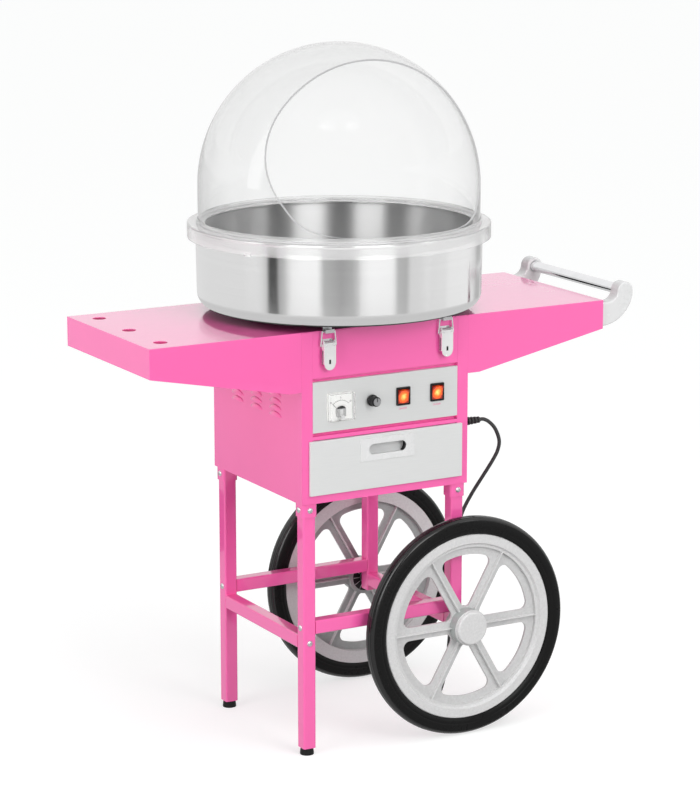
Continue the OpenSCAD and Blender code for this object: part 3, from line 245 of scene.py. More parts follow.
def refine(node, width=0.0, segments=2, angle=32, crease=34):
    """A merged copy of a CAD node with rounded edges and smooth shading."""
    piece = bpy.data.objects.new(node + "_finished", frame["nodes"][node].data.copy())
    bpy.context.collection.objects.link(piece)
    piece.data.materials.clear()
    activate(piece)
    bpy.ops.mesh.customdata_custom_splitnormals_clear()
    edit(piece)
    bpy.ops.mesh.remove_doubles(threshold=0.000004)
    bpy.ops.mesh.dissolve_limited(angle_limit=math.radians(0.1))
    done()
    if width:
        soften(piece, width, segments, angle)
    smooth(piece, crease)
    return piece


def fit_out(piece, body, slot, coats, *nodes):
    """Gives a finished piece its finishes, named apart by spaces, its body and the nodes that it stands for."""
    for name in coats.split():
        piece.data.materials.append(finish(name))
    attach(piece, body)
    if nodes:
        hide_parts(*nodes)
    return piece


def tone_faces(piece, rule):
    """Gives each face of a piece the number of its finish by a rule."""
    for face in piece.data.polygons:
        face.material_index = rule(face)


def body_of(node):
    """The body that carries a CAD node."""
    return frame["nodes"][node]["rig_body"]


def slot_of(node):
    """The record's material slot of a CAD node."""
    return next(s["material_slot"] for s in frame["record"]["subparts"] if s["node"] == node)


def dress(node, width=0.0, segments=2, angle=32, crease=34):
    """A refined copy of a node in its own finish."""
    slot = slot_of(node)
    return fit_out(refine(node, width, segments, angle, crease), body_of(node), slot, slot, node)


def paint(node):
    """Paints a CAD node that keeps its shape."""
    data = frame["nodes"][node].data
    data.materials.clear()
    data.materials.append(finish(slot_of(node)))


def copies(model, places):
    """Copies of a model at the places given by matrices, joined into one piece; the model goes."""
    name, made = model.name, []
    for place in places:
        twin = bpy.data.objects.new(name + "_copy", model.data.copy())
        twin.data.transform(place)
        if place.determinant() < 0:
            twin.data.flip_normals()
        bpy.context.collection.objects.link(twin)
        made.append(twin)
    bpy.data.objects.remove(model)
    piece = join(made)
    piece.name = name
    return piece


def turned(name, profile, centre, axis, steps):
    """A closed profile of radius and height points turned about an axis."""
    piece = new_object(name, bpy.ops.mesh.primitive_circle_add, vertices=len(profile), radius=0.01,
                       fill_type="NOTHING")
    for vertex, (radius, height) in zip(piece.data.vertices, profile):
        vertex.co = centre + Vector((radius, 0, 0)) + Vector(axis) * height
    edit(piece)
    bpy.ops.mesh.spin(steps=steps, angle=2 * math.pi, center=centre, axis=axis)
    face_outward(merge=0.00001)
    return piece


def fillet(before, corner, after, radius, steps=12):
    """Points of a rounded corner between two straight lines in a plane."""
    before, corner, after = Vector(before), Vector(corner), Vector(after)
    one, two = (before - corner).normalized(), (after - corner).normalized()
    half = one.angle(two) / 2
    centre = corner + (one + two).normalized() * radius / math.sin(half)
    start = (corner + one * radius / math.tan(half) - centre).normalized()
    end = (corner + two * radius / math.tan(half) - centre).normalized()
    return [tuple(centre + start.slerp(end, i / steps) * radius) for i in range(steps + 1)]


def slab(name, low, high, edge, segments=2):
    """A bevelled block between two corners."""
    low, high = Vector(low), Vector(high)
    piece = new_object(name, bpy.ops.mesh.primitive_cube_add, size=1, location=(low + high) / 2)
    piece.scale = high - low
    settle(piece)
    soften(piece, edge, segments)
    smooth(piece)
    return piece


def strip(name, x, half, depth, height, edge, segments=2):
    """A bevelled block by its middle and half width in X and its ranges in Y and Z."""
    return slab(name, (x - half, depth[0], height[0]), (x + half, depth[1], height[1]), edge, segments)


def lettering(name, words, size, place):
    """Words as a thin raised mesh on a front face, centred on a place."""
    text = new_object(name, bpy.ops.object.text_add, location=place, rotation=FACING_FRONT)
    text.data.body = words
    text.data.size = size
    text.data.align_x = text.data.align_y = "CENTER"
    text.data.extrude = 0.00006
    text.data.resolution_u = 4
    bpy.ops.object.convert(target="MESH")
    piece = bpy.context.active_object
    settle(piece)
    return piece


# ---------------------------------------------------------------- shared effects


def feed(tree, node, values):
    """Sets a node's inputs, or links them where a socket is given."""
    for key, value in values.items():
        if isinstance(value, bpy.types.NodeSocket):
            tree.links.new(value, node.inputs[key])
        else:
            node.inputs[key].default_value = value
    return node


def add(tree, kind, values=None, **settings):
    """A shader node with its settings and its inputs."""
    made = tree.nodes.new("ShaderNode" + kind)
    for key, value in settings.items():
        setattr(made, key, value)
    return feed(tree, made, values or {})


def blended(tree, factor, first, second):
    """A mix of two colours."""
    return add(tree, "Mix", {"Factor": factor, 6: first, 7: second}, data_type="RGBA").outputs[2]


def spread_out(tree, value, low, high):
    """The middle of a noise's range spread out to all of it."""
    return add(tree, "MapRange", {"Value": value, "From Min": low, "From Max": high}).outputs["Result"]


def effect(name, inputs, outputs):
    """An empty shader group with named sockets, what it is given and its output node."""
    tree = bpy.data.node_groups.new(name, "ShaderNodeTree")
    for side, sockets in (("INPUT", inputs), ("OUTPUT", outputs)):
        for label, kind in sockets.items():
            tree.interface.new_socket(label, in_out=side, socket_type="NodeSocket" + kind)
    return tree, tree.nodes.new("NodeGroupInput").outputs, tree.nodes.new("NodeGroupOutput")


def drift_effect():
    """Slow change of colour and roughness over a surface, as from handling and dust."""
    tree, given, end = effect(
        "Surface drift",
        {"Place": "Vector", "Scale": "Float", "Colour": "Color", "Second colour": "Color",
         "Smooth": "Float", "Rough": "Float"},
        {"Colour": "Color", "Roughness": "Float"})
    cloud = add(tree, "TexNoise", {"Vector": given["Place"], "Scale": given["Scale"], "Detail": 5.0,
                                   "Roughness": 0.62, "Distortion": 0.4}).outputs[0]
    faster = add(tree, "Math", {0: given["Scale"], 1: 9.0}, operation="MULTIPLY").outputs[0]
    fine = add(tree, "TexNoise", {"Vector": given["Place"], "Scale": faster, "Detail": 3.0,
                                  "Roughness": 0.7}).outputs[0]
    both = add(tree, "Math", {0: fine, 1: cloud}, operation="ADD").outputs[0]
    rough = add(tree, "MapRange", {"Value": both, "From Min": 0.7, "From Max": 1.3,
                                   "To Min": given["Smooth"], "To Max": given["Rough"]})
    level = spread_out(tree, cloud, 0.32, 0.68)
    feed(tree, end, {"Colour": blended(tree, level, given["Colour"], given["Second colour"]),
                     "Roughness": rough.outputs["Result"]})
    return tree


def grain_effect():
    """Fine grain of paint, rubber or moulded plastic as a height."""
    tree, given, end = effect("Fine grain", {"Place": "Vector", "Scale": "Float", "Pits": "Float"},
                              {"Height": "Float"})
    laid = {"Vector": given["Place"], "Scale": given["Scale"]}
    swell = add(tree, "TexNoise", {**laid, "Detail": 2.0, "Roughness": 0.45})
    cells = add(tree, "TexVoronoi", laid, feature="SMOOTH_F1")
    height = add(tree, "Mix", {"Factor": given["Pits"], 2: swell.outputs[0], 3: cells.outputs["Distance"]},
                 data_type="FLOAT")
    feed(tree, end, {"Height": height.outputs[0]})
    return tree


def line_effect(name, detail, coordinates):
    """Fine lines as a height and a tone, along coordinates made from a place."""
    tree, given, end = effect(name, {"Place": "Vector", "Pitch": "Float"},
                              {"Height": "Float", "Tone": "Float"})
    lines = add(tree, "TexNoise", {"Vector": coordinates(tree, given["Place"]), "Scale": given["Pitch"],
                                   "Detail": 3.0, "Roughness": detail}).outputs[0]
    feed(tree, end, {"Height": lines, "Tone": spread_out(tree, lines, 0.3, 0.7)})
    return tree


def brushed_effect():
    """Straight brushing along X."""
    def stretched(tree, place):
        return add(tree, "VectorMath", {0: place, 1: (0.012, 1.0, 1.0)}, operation="MULTIPLY").outputs[0]

    return line_effect("Brushed lines", 0.7, stretched)


def turned_effect():
    """Lathe marks round the Z axis of a place."""
    def round_axis(tree, place):
        split = add(tree, "SeparateXYZ", {0: place}).outputs
        flat = add(tree, "CombineXYZ", {"X": split["X"], "Y": split["Y"]}).outputs[0]
        radius = add(tree, "VectorMath", {0: flat}, operation="LENGTH").outputs["Value"]
        return add(tree, "CombineXYZ", {"X": radius, "Y": split["Z"]}).outputs[0]

    return line_effect("Turned rings", 0.65, round_axis)


EFFECTS = {}


def group(tree, build, values):
    """A shared effect placed in a material, built when it is first asked for."""
    if build not in EFFECTS:
        EFFECTS[build] = build()
    made = tree.nodes.new("ShaderNodeGroup")
    made.node_tree = EFFECTS[build]
    return feed(tree, made, values)


# ---------------------------------------------------------------- finishes


def shader(name, values):
    """A new material with its tree, its Principled shader and its Object coordinates."""
    material = bpy.data.materials.new(name)
    material.use_nodes = True
    tree = material.node_tree
    bsdf = feed(tree, tree.nodes["Principled BSDF"], values)
    return material, tree, bsdf, add(tree, "TexCoord").outputs["Object"]


def tint(colour, factor=1.0):
    """A colour made lighter or darker, with full alpha."""
    return tuple(min(1.0, c * factor) for c in colour[:3]) + (1.0,)


def drifting(tree, bsdf, place, colour, roughness, scale, spread):
    """Base colour and roughness that drift a little."""
    drift = group(tree, drift_effect, {
        "Place": place, "Scale": scale, "Colour": tint(colour), "Second colour": tint(colour, spread),
        "Smooth": roughness[0], "Rough": roughness[1]}).outputs
    feed(tree, bsdf, {"Base Color": drift["Colour"], "Roughness": drift["Roughness"]})


def bumped(tree, bsdf, height, distance, strength):
    """A bump from a height."""
    bump = add(tree, "Bump", {"Height": height, "Strength": strength, "Distance": distance})
    feed(tree, bsdf, {"Normal": bump.outputs["Normal"]})


def grained(tree, bsdf, place, scale, distance, pits, strength):
    """A fine grained surface."""
    grain = group(tree, grain_effect, {"Place": place, "Scale": scale, "Pits": pits})
    bumped(tree, bsdf, grain.outputs["Height"], distance, strength)


def lined(tree, bsdf, lines, shades, roughness, distance, strength):
    """Colour, roughness and bump that follow an effect's lines."""
    tone = lines.outputs["Tone"]
    rough = add(tree, "MapRange", {"Value": tone, "To Min": roughness[0], "To Max": roughness[1]})
    feed(tree, bsdf, {"Base Color": blended(tree, tone, *shades), "Roughness": rough.outputs["Result"]})
    bumped(tree, bsdf, lines.outputs["Height"], distance, strength)


def centred(tree, place, centre):
    """Coordinates about a centre."""
    return add(tree, "Mapping", {"Vector": place, "Location": tuple(-c for c in centre)}).outputs["Vector"]


def mixed(tree, factor, first, second):
    """A mix of two shaders."""
    return add(tree, "MixShader", {"Fac": factor, 1: first.outputs[0], 2: second.outputs[0]})


def surface(tree, shown):
    """Sends a shader to its material's surface."""
    feed(tree, tree.nodes["Material Output"], {"Surface": shown.outputs[0]})


def pink_paint(name, colour, roughness):
    """Glossy powder coat with a faint orange peel."""
    material, tree, bsdf, place = shader(name, {
        "Coat Weight": 1.0, "Coat Roughness": 0.03, "Coat IOR": 1.55, "Specular IOR Level": 0.3})
    drifting(tree, bsdf, place, colour, roughness, 4.0, 0.965)
    grained(tree, bsdf, place, 420.0, 0.00003, 0.2, 0.35)
    return material


def satin_plate(name, colour, roughness, level=1.0):
    """Satin plate brushed from side to side."""
    material, tree, bsdf, place = shader(name, {"Metallic": 0.35})
    lines = group(tree, brushed_effect, {"Place": place, "Pitch": 1900.0})
    # A level other than 1 lightens or darkens the whole plate: painted light.
    shades = (tint(colour, 0.965 * level), tint(colour, 1.03 * level))
    lined(tree, bsdf, lines, shades, roughness, 0.00001, 0.4)
    return material


def turned_metal(name, colour, roughness, pitch=1500.0, anisotropic=0.0):
    """Metal with lathe marks round the bowl's axis."""
    material, tree, bsdf, place = shader(name, {
        "Metallic": 1.0, "Anisotropic": anisotropic, "Anisotropic Rotation": 0.25})
    marks = group(tree, turned_effect, {"Place": centred(tree, place, (CART_X, 0, 0)), "Pitch": pitch})
    lined(tree, bsdf, marks, (tint(colour, 0.95), tint(colour, 1.02)), roughness, 0.000006, 0.25)
    return material


def plated_metal(name, colour, roughness, metallic=1.0):
    """Plated metal with faint clouding."""
    material, tree, bsdf, place = shader(name, {"Metallic": metallic})
    drifting(tree, bsdf, place, colour, roughness, 25.0, 0.93)
    grained(tree, bsdf, place, 900.0, 0.00001, 0.2, 0.2)
    return material


def moulding(name, colour, roughness, grain, depth, coat=0.0, pits=0.35, gloss=0.5, cloud=9.0, spread=0.93):
    """Moulded plastic or rubber with its grain and its clouds or specks."""
    material, tree, bsdf, place = shader(name, {
        "Coat Weight": coat, "Coat Roughness": 0.06, "Specular IOR Level": gloss})
    drifting(tree, bsdf, place, colour, roughness, cloud, spread)
    grained(tree, bsdf, place, grain, depth, pits, 0.6)
    return material


def see_through(name, colour, roughness, transmission, ior, shade):
    """Clear or frosted plastic with painted shade that greys its edges, and that lets the lamps through."""
    material, tree, bsdf, place = shader(name, {
        "Base Color": tint(colour), "Transmission Weight": transmission, "IOR": ior})
    # Painted shade: the base colour greys where the surface turns edge-on.
    edge = add(tree, "LayerWeight", {"Blend": 0.14}).outputs["Facing"]
    drift = group(tree, drift_effect, {
        "Place": place, "Scale": 14.0, "Smooth": roughness[0], "Rough": roughness[1]})
    feed(tree, bsdf, {"Base Color": blended(tree, edge, tint(colour), tint(colour, 0.62)),
                      "Roughness": drift.outputs["Roughness"]})
    clear = add(tree, "BsdfTransparent", {"Color": (shade, shade, shade, 1.0)})
    surface(tree, mixed(tree, add(tree, "LightPath").outputs["Is Shadow Ray"], bsdf, clear))
    return material


def lit_lens(name, colours, roughness, node):
    """A translucent lens with a lamp behind it: bright heart, orange body, dark red rim."""
    shares = tuple(1.0 / half for half in (0.0125, 0.03, 0.0145))
    material, tree, bsdf, place = shader(name, {
        "Roughness": roughness, "Emission Strength": 0.85, "Coat Weight": 0.6})
    away = centred(tree, place, middle(node))
    near = add(tree, "VectorMath", {0: away, 1: shares}, operation="MULTIPLY").outputs[0]
    far = add(tree, "VectorMath", {0: near}, operation="LENGTH").outputs["Value"]
    flicker = add(tree, "TexNoise", {"Vector": place, "Scale": 260.0, "Detail": 3.0}).outputs[0]
    sway = add(tree, "MapRange", {"Value": flicker, "To Min": -0.22, "To Max": 0.22}).outputs["Result"]
    glow = add(tree, "Math", {0: far, 1: sway}, operation="ADD").outputs[0]
    ramp = add(tree, "ValToRGB", {"Fac": glow})
    stops = ramp.color_ramp.elements
    heart, body, rim = colours
    stops[0].position, stops[0].color = 0.10, tint(heart)
    stops[1].position, stops[1].color = 1.0, tint(rim)
    stops.new(0.52).color = tint(body)
    feed(tree, bsdf, {"Base Color": ramp.outputs["Color"], "Emission Color": ramp.outputs["Color"]})
    return material


def recipes(colours):
    """How each finish is made: its function, colour, roughness and further values."""
    wheel = {"grain": 800.0, "depth": 0.00005, "cloud": 240.0, "spread": 0.87}
    tyre = {"grain": 1100.0, "pits": 0.5}
    print_like = {"grain": 2500.0, "depth": 0.000005}
    bowl = {"pitch": 1300.0, "anisotropic": 1.0}
    lens = (colours.lamp_heart, colours.lamp_body, colours.lamp_rim)
    return {
        "pink_paint": (pink_paint, colours.pink, (0.15, 0.24), {}),
        "grey_panel": (satin_plate, colours.plate, (0.36, 0.50), {}),
        # The panel's satin plate made lighter for the drawer front: painted light.
        "drawer_plate_painted_light": (satin_plate, colours.plate, (0.36, 0.50), {"level": 1.07}),
        "bowl_steel": (turned_metal, colours.steel, (0.11, 0.14), bowl),
        # A darker, rougher copy of the bowl's steel for its inside: painted shade.
        "bowl_inside": (turned_metal, tint(colours.steel, 0.70), (0.38, 0.42), bowl),
        "spinner_steel": (turned_metal, (0.72, 0.72, 0.73), (0.25, 0.4), {}),
        "brass": (turned_metal, (0.72, 0.50, 0.22), (0.2, 0.34), {}),
        "chrome": (plated_metal, colours.chrome, (0.05, 0.13), {}),
        "zinc": (plated_metal, (0.74, 0.74, 0.75), (0.2, 0.34), {}),
        "latch_plate": (plated_metal, (0.90, 0.90, 0.90), (0.16, 0.28), {"metallic": 0.5}),
        "knob_silver": (plated_metal, (0.50, 0.50, 0.51), (0.25, 0.35), {}),
        "wheel_grey": (moulding, tint(colours.wheel, 1.05), (0.34, 0.46), wheel),
        # Darker copies of the wheel grey for recesses, the hub's side and the inner side: painted shade.
        "wheel_painted_shade": (moulding, tint(colours.wheel, 0.96), (0.34, 0.46), wheel),
        "wheel_inside_painted_shade": (moulding, (0.40, 0.43, 0.42), (0.4, 0.5), wheel),
        "bracket_white": (moulding, colours.bracket, (0.22, 0.32),
                          {"grain": 700.0, "depth": 0.00001, "coat": 0.5}),
        # A darker copy of the bracket white for the pull's inside: painted shade.
        "pull_inside": (moulding, tint(colours.bracket, 0.88), (0.35, 0.45),
                        {"grain": 700.0, "depth": 0.00002}),
        "tyre_rubber": (moulding, colours.rubber, (0.24, 0.36), {**tyre, "depth": 0.00003, "gloss": 0.13}),
        "tyre_tread": (moulding, colours.rubber, (0.16, 0.26), {**tyre, "depth": 0.00002, "gloss": 0.55}),
        "black_rubber": (moulding, tint(colours.rubber, 1.6), (0.4, 0.55),
                         {"grain": 1000.0, "depth": 0.00005, "pits": 0.5, "gloss": 0.18}),
        "cord_rubber": (moulding, colours.cord, (0.42, 0.55),
                        {"grain": 1400.0, "depth": 0.00003, "pits": 0.4, "gloss": 0.2}),
        "black_plastic": (moulding, colours.black, (0.3, 0.42),
                          {"grain": 1300.0, "depth": 0.00002, "gloss": 0.2}),
        "needle_black": (moulding, (0.01, 0.01, 0.01), (0.35, 0.45), {"grain": 2000.0, "depth": 0.00001}),
        "motor_paint": (moulding, (0.10, 0.11, 0.12), (0.35, 0.5), {"grain": 600.0, "depth": 0.00004}),
        "dial_white": (moulding, (0.86, 0.86, 0.84), (0.4, 0.5), print_like),
        "dial_grey": (moulding, (0.40, 0.40, 0.40), (0.3, 0.4), print_like),
        "panel_ink": (moulding, (0.85, 0.10, 0.32), (0.4, 0.5), print_like),
        # Opaque grey for the clear dome's cut edges: painted shade.
        "dome_edge": (moulding, (0.48, 0.48, 0.485), (0.25, 0.35),
                      {"grain": 2000.0, "depth": 0.00001, "gloss": 0.2}),
        "clear_plastic": (see_through, (0.976, 0.976, 0.976), (0.0, 0.032),
                          {"transmission": 1.0, "ior": 1.3, "shade": 0.95}),
        "frosted_plastic": (see_through, (0.970, 0.970, 0.970), (0.073, 0.105),
                            {"transmission": 0.82, "ior": 1.46, "shade": 0.9}),
        "fan_lens": (lit_lens, lens, 0.16, {"node": "fan_rocker"}),
        "heat_lens": (lit_lens, lens, 0.16, {"node": "heat_rocker"}),
    }


FINISHES = {}


def finish(name):
    """The material of a finish, built when it is first asked for."""
    if name not in FINISHES:
        make, colour, roughness, values = recipes(bpy.context.scene.cart_colours)[name]
        FINISHES[name] = make(name, colour, roughness, **values)
    return FINISHES[name]


# ---------------------------------------------------------------- stage


def hide(piece, *rays):
    """Keeps a stage object out of some kinds of rays."""
    for ray in rays:
        setattr(piece, "visible_" + ray, False)


def bare_material(piece, name):
    """A new material without a shader on a stage object; its tree."""
    material = bpy.data.materials.new(name)
    material.use_nodes = True
    material.node_tree.nodes.remove(material.node_tree.nodes["Principled BSDF"])
    piece.data.materials.append(material)
    return material.node_tree


def seen_rays(tree):
    """1 for camera, glossy and transmission rays, and 0 for the rest."""
    path = add(tree, "LightPath").outputs
    seen = path["Is Camera Ray"]
    for kind in ("Is Glossy Ray", "Is Transmission Ray"):
        seen = add(tree, "Math", {0: seen, 1: path[kind]}, operation="MAXIMUM").outputs[0]
    return seen


# Bearings from the camera, in degrees, and the tone of the studio's wall there.
LOW_WALL = (
    (-180, 0.72), (-150, 0.77), (-62, 0.79), (-57.5, 0.66), (-54.5, 0.0), (-48.5, 0.0), (-46.5, 0.36),
    (-41.5, 0.56), (-35, 0.88), (-28, 0.95), (-16, 0.95), (-11, 0.48), (2, 0.34), (14, 0.48), (18, 0.80),
    (23, 0.95), (43, 0.95), (46, 0.52), (53, 0.46), (57, 0.76), (90, 0.82), (96, 0.90), (124, 0.90),
    (134, 0.75), (142, 0.48), (150, 0.48), (158, 0.70), (180, 0.72))
HIGH_WALL = (
    (-76, 0.55), (-66, 0.60), (-61, 0.0), (-42, 0.0), (-39, 1.0), (-15, 1.0), (-12, 0.0), (11, 0.0),
    (14, 1.0), (40, 1.0), (43, 0.0), (65, 0.0), (71, 0.60), (76, 0.60))


class CART_OT_stage(bpy.types.Operator):
    """Camera, lamps, white surroundings and a pale floor"""

    bl_idname = "cart.stage"
    bl_label = "Stage"

    def execute(self, context):
        studio = context.scene.cart_studio
        camera = new_object("Camera", bpy.ops.object.camera_add, location=CAMERA_PLACE,
                            rotation=(CAMERA_TILT, 0, -CAMERA_YAW))
        camera.data.lens = CAMERA_LENS
        camera.data.sensor_width = 36
        camera.data.clip_end = 200
        context.scene.camera = camera
        context.scene.view_settings.view_transform = "Standard"
        heart = (CART_X, 0, 0.7)
        self.lamp("key_lamp", "AREA", (0.7, -3.5, 2.0), heart, studio.key, size=1.8)
        self.lamp("fill_lamp", "AREA", (-3.6, -0.9, 1.0), heart, studio.fill, size=2.2)
        self.lamp("overhead_light", "SUN", (0.4, -0.7, 4.0), (0, 0, 2.0), studio.sun, angle=math.radians(65))
        self.surroundings(context, studio)
        self.floor(studio)
        self.wall("studio_wall_low", 0.01, 1.0, LOW_WALL, 1.0)
        self.wall("studio_wall_high", 1.0, 4.2, HIGH_WALL, 4.4)
        self.card("studio_mat", 0.62, 48, (CART_X, 0, TOP_Z - 0.0006), (0.62, 0.62))
        self.card("studio_card", 0.01, 4, (-0.40, 1.84, 0.001), (1.10, 1.40))
        return {"FINISHED"}

    def lamp(self, name, kind, place, target, power, **settings):
        """A soft lamp that faces a point."""
        lamp = new_object(name, bpy.ops.object.light_add, type=kind, location=place)
        lamp.data.energy = power
        for key, value in settings.items():
            setattr(lamp.data, key, value)
        lamp.rotation_euler = (Vector(target) - lamp.location).to_track_quat("-Z", "Y").to_euler()
        hide(lamp, "glossy", "transmission")

    def surroundings(self, context, studio):
        """White where it is seen, softer where it lights."""
        world = bpy.data.worlds.new("studio_white")
        context.scene.world = world
        world.use_nodes = True
        tree = world.node_tree
        lit = feed(tree, tree.nodes["Background"], {"Color": WHITE, "Strength": studio.sky})
        seen = add(tree, "Background", {"Color": WHITE, "Strength": 1.0})
        shown = mixed(tree, seen_rays(tree), lit, seen)
        feed(tree, tree.nodes["World Output"], {"Surface": shown.outputs[0]})

    def floor(self, studio):
        """A pale floor that is seen white, keeps the shadows and has one even tone in reflections."""
        floor = new_object("studio_floor", bpy.ops.mesh.primitive_plane_add, size=80,
                           location=(0, 0, -0.0002))
        tree = bare_material(floor, "floor_white")
        plain = add(tree, "BsdfDiffuse", {"Color": (0.50, 0.50, 0.50, 1)})
        shadow = add(tree, "BsdfDiffuse", {"Color": (0.465, 0.472, 0.469, 1)})
        glow = add(tree, "Emission", {"Strength": studio.floor})
        white = add(tree, "AddShader", {0: shadow.outputs[0], 1: glow.outputs[0]})
        seen = mixed(tree, seen_rays(tree), plain, white)
        path = add(tree, "LightPath").outputs
        reflected = add(tree, "Math", {0: path["Is Glossy Ray"], 1: path["Is Transmission Ray"]},
                        operation="SUBTRACT", use_clamp=True)
        even = add(tree, "Emission", {"Strength": studio.mirrored})
        surface(tree, mixed(tree, reflected.outputs[0], seen, even))

    def card(self, name, tone, corners, place, size):
        """A flat card that only reflections see, under the bowl or behind the handle bar."""
        step = math.pi / corners
        card = new_object(name, bpy.ops.mesh.primitive_circle_add, vertices=corners, fill_type="NGON",
                          radius=0.5 / math.cos(step), rotation=(0, 0, step), location=place)
        bpy.ops.object.transform_apply(location=False, rotation=True, scale=False)
        card.scale = size + (1,)
        settle(card)
        tree = bare_material(card, name + "_tone")
        surface(tree, add(tree, "Emission", {"Color": (tone, tone, tone, 1)}))
        hide(card, "camera", "diffuse", "transmission", "shadow")

    def wall(self, name, low, high, tones, power):
        """One curved wall that only reflections see, in tones by its bearing from the camera."""
        wall = new_object(name, bpy.ops.mesh.primitive_cylinder_add, vertices=180, radius=3.2,
                          depth=high - low, end_fill_type="NOTHING", location=(CART_X, 0, (low + high) / 2))
        settle(wall)
        mesh = bmesh.new()
        mesh.from_mesh(wall.data)
        far = []
        for face in mesh.faces:
            out = face.calc_center_median() - Vector((CART_X, 0, 0))
            ahead = -out.x * math.sin(CAMERA_YAW) - out.y * math.cos(CAMERA_YAW)
            aside = out.x * math.cos(CAMERA_YAW) - out.y * math.sin(CAMERA_YAW)
            if not tones[0][0] <= math.degrees(math.atan2(aside, ahead)) <= tones[-1][0]:
                far.append(face)
        bmesh.ops.delete(mesh, geom=far, context="FACES")
        mesh.to_mesh(wall.data)
        mesh.free()
        tree = bare_material(wall, name + "_tones")
        place = centred(tree, add(tree, "TexCoord").outputs["Object"], (CART_X, 0, 0))
        turn = add(tree, "VectorRotate", {"Vector": place, "Angle": CAMERA_YAW}, rotation_type="Z_AXIS")
        split = add(tree, "SeparateXYZ", {0: turn.outputs["Vector"]}).outputs
        ahead = add(tree, "Math", {0: split["Y"], 1: -1.0}, operation="MULTIPLY").outputs[0]
        bearing = add(tree, "Math", {0: split["X"], 1: ahead}, operation="ARCTAN2").outputs[0]
        ramp = add(tree, "ValToRGB", {"Fac": spread_out(tree, bearing, -math.pi, math.pi)})
        stops = ramp.color_ramp.elements
        stops.remove(stops[1])
        for number, (angle, tone) in enumerate(tones):
            share = (angle + 180) / 360
            stop = stops.new(share) if number else stops[0]
            stop.position = share
            stop.color = (tone, tone, tone, 1)
        glow = add(tree, "Emission", {"Color": ramp.outputs["Color"], "Strength": power})
        depth = add(tree, "LightPath").outputs["Glossy Depth"]
        reflected = add(tree, "Math", {0: depth, 1: 0.5}, operation="GREATER_THAN")
        surface(tree, mixed(tree, reflected.outputs[0], add(tree, "BsdfTransparent"), glow))
        hide(wall, "camera", "diffuse", "shadow")


# ---------------------------------------------------------------- cord

# The lead's way from the strain relief to the coil, in millimetres.
LEAD = (
    (176.75, -148, 581), (186, -148, 581), (199, -148, 574), (213, -147, 559), (223, -145, 536),
    (222, -142, 517), (216, -138, 501), (207, -133, 483), (198, -127, 465), (181, -118, 433),
    (167, -110, 400), (158, -104, 362), (154, -100, 318), (152, -97, 260), (152, -94, 200),
    (152, -89, 142), (152, -80, 94), (153, -65, 52), (154, -45, 21), (154, -21, 5.5),
    (147, 0, 3.7), (124, 10, 3.6), (102, 0, 3.6), (94.5, -22, 3.6), (94.5, -46, 3.8),
    (94.5, -70, 4.6), (94.5, -84, 5.1), (94.5, -97, 5.1),
)


def ease(t):
    """A smooth step from 0 to 1."""
    t = min(max(t, 0.0), 1.0)
    return t * t * (3 - 2 * t)


def cord_route():
    """The cord's centreline in metres: the lead, the put-away coil and its tail to the plug."""
    points = [Vector(p) for p in LEAD]
    turns, steps, radius, pitch = 4.25, 24, 46.0, 8.0
    centre_x, centre_y, floor_z, rise = 140.5, -104, 5.1, 8.0
    tail, tail_rise, rise_within = 34, 6.0, 27
    for i in range(int(turns * steps) + 1):
        t = i / steps
        angle = math.pi + 2 * math.pi * t
        r = radius - pitch * min(t, turns - t)
        z = floor_z + rise * ease(2 * t - turns + 0.5)
        points.append(Vector((centre_x + r * math.cos(angle), centre_y + r * math.sin(angle), z)))
    last = points[-1]
    for share in (0.25, 0.5, 0.8, 1.0):
        lift = tail_rise * ease(share * tail / rise_within)
        points.append(Vector((last.x + tail * share, last.y, last.z + lift)))
    return [p / 1000 for p in points]


def route_length(points):
    """Length of a smooth line through points, by the same curve that the spline has."""
    total, last, count, steps = 0.0, points[0], len(points), 12
    for i in range(count - 1):
        a, b, c, d = points[max(i - 1, 0)], points[i], points[i + 1], points[min(i + 2, count - 1)]
        for k in range(steps):
            t = k / steps
            p = (b + t * (c - a) / 2 + t * t * (2 * a - 5 * b + 4 * c - d) / 2
                 + t ** 3 * (3 * b - a - 3 * c + d) / 2)
            total += (p - last).length
            last = p
    return total + (points[-1] - last).length


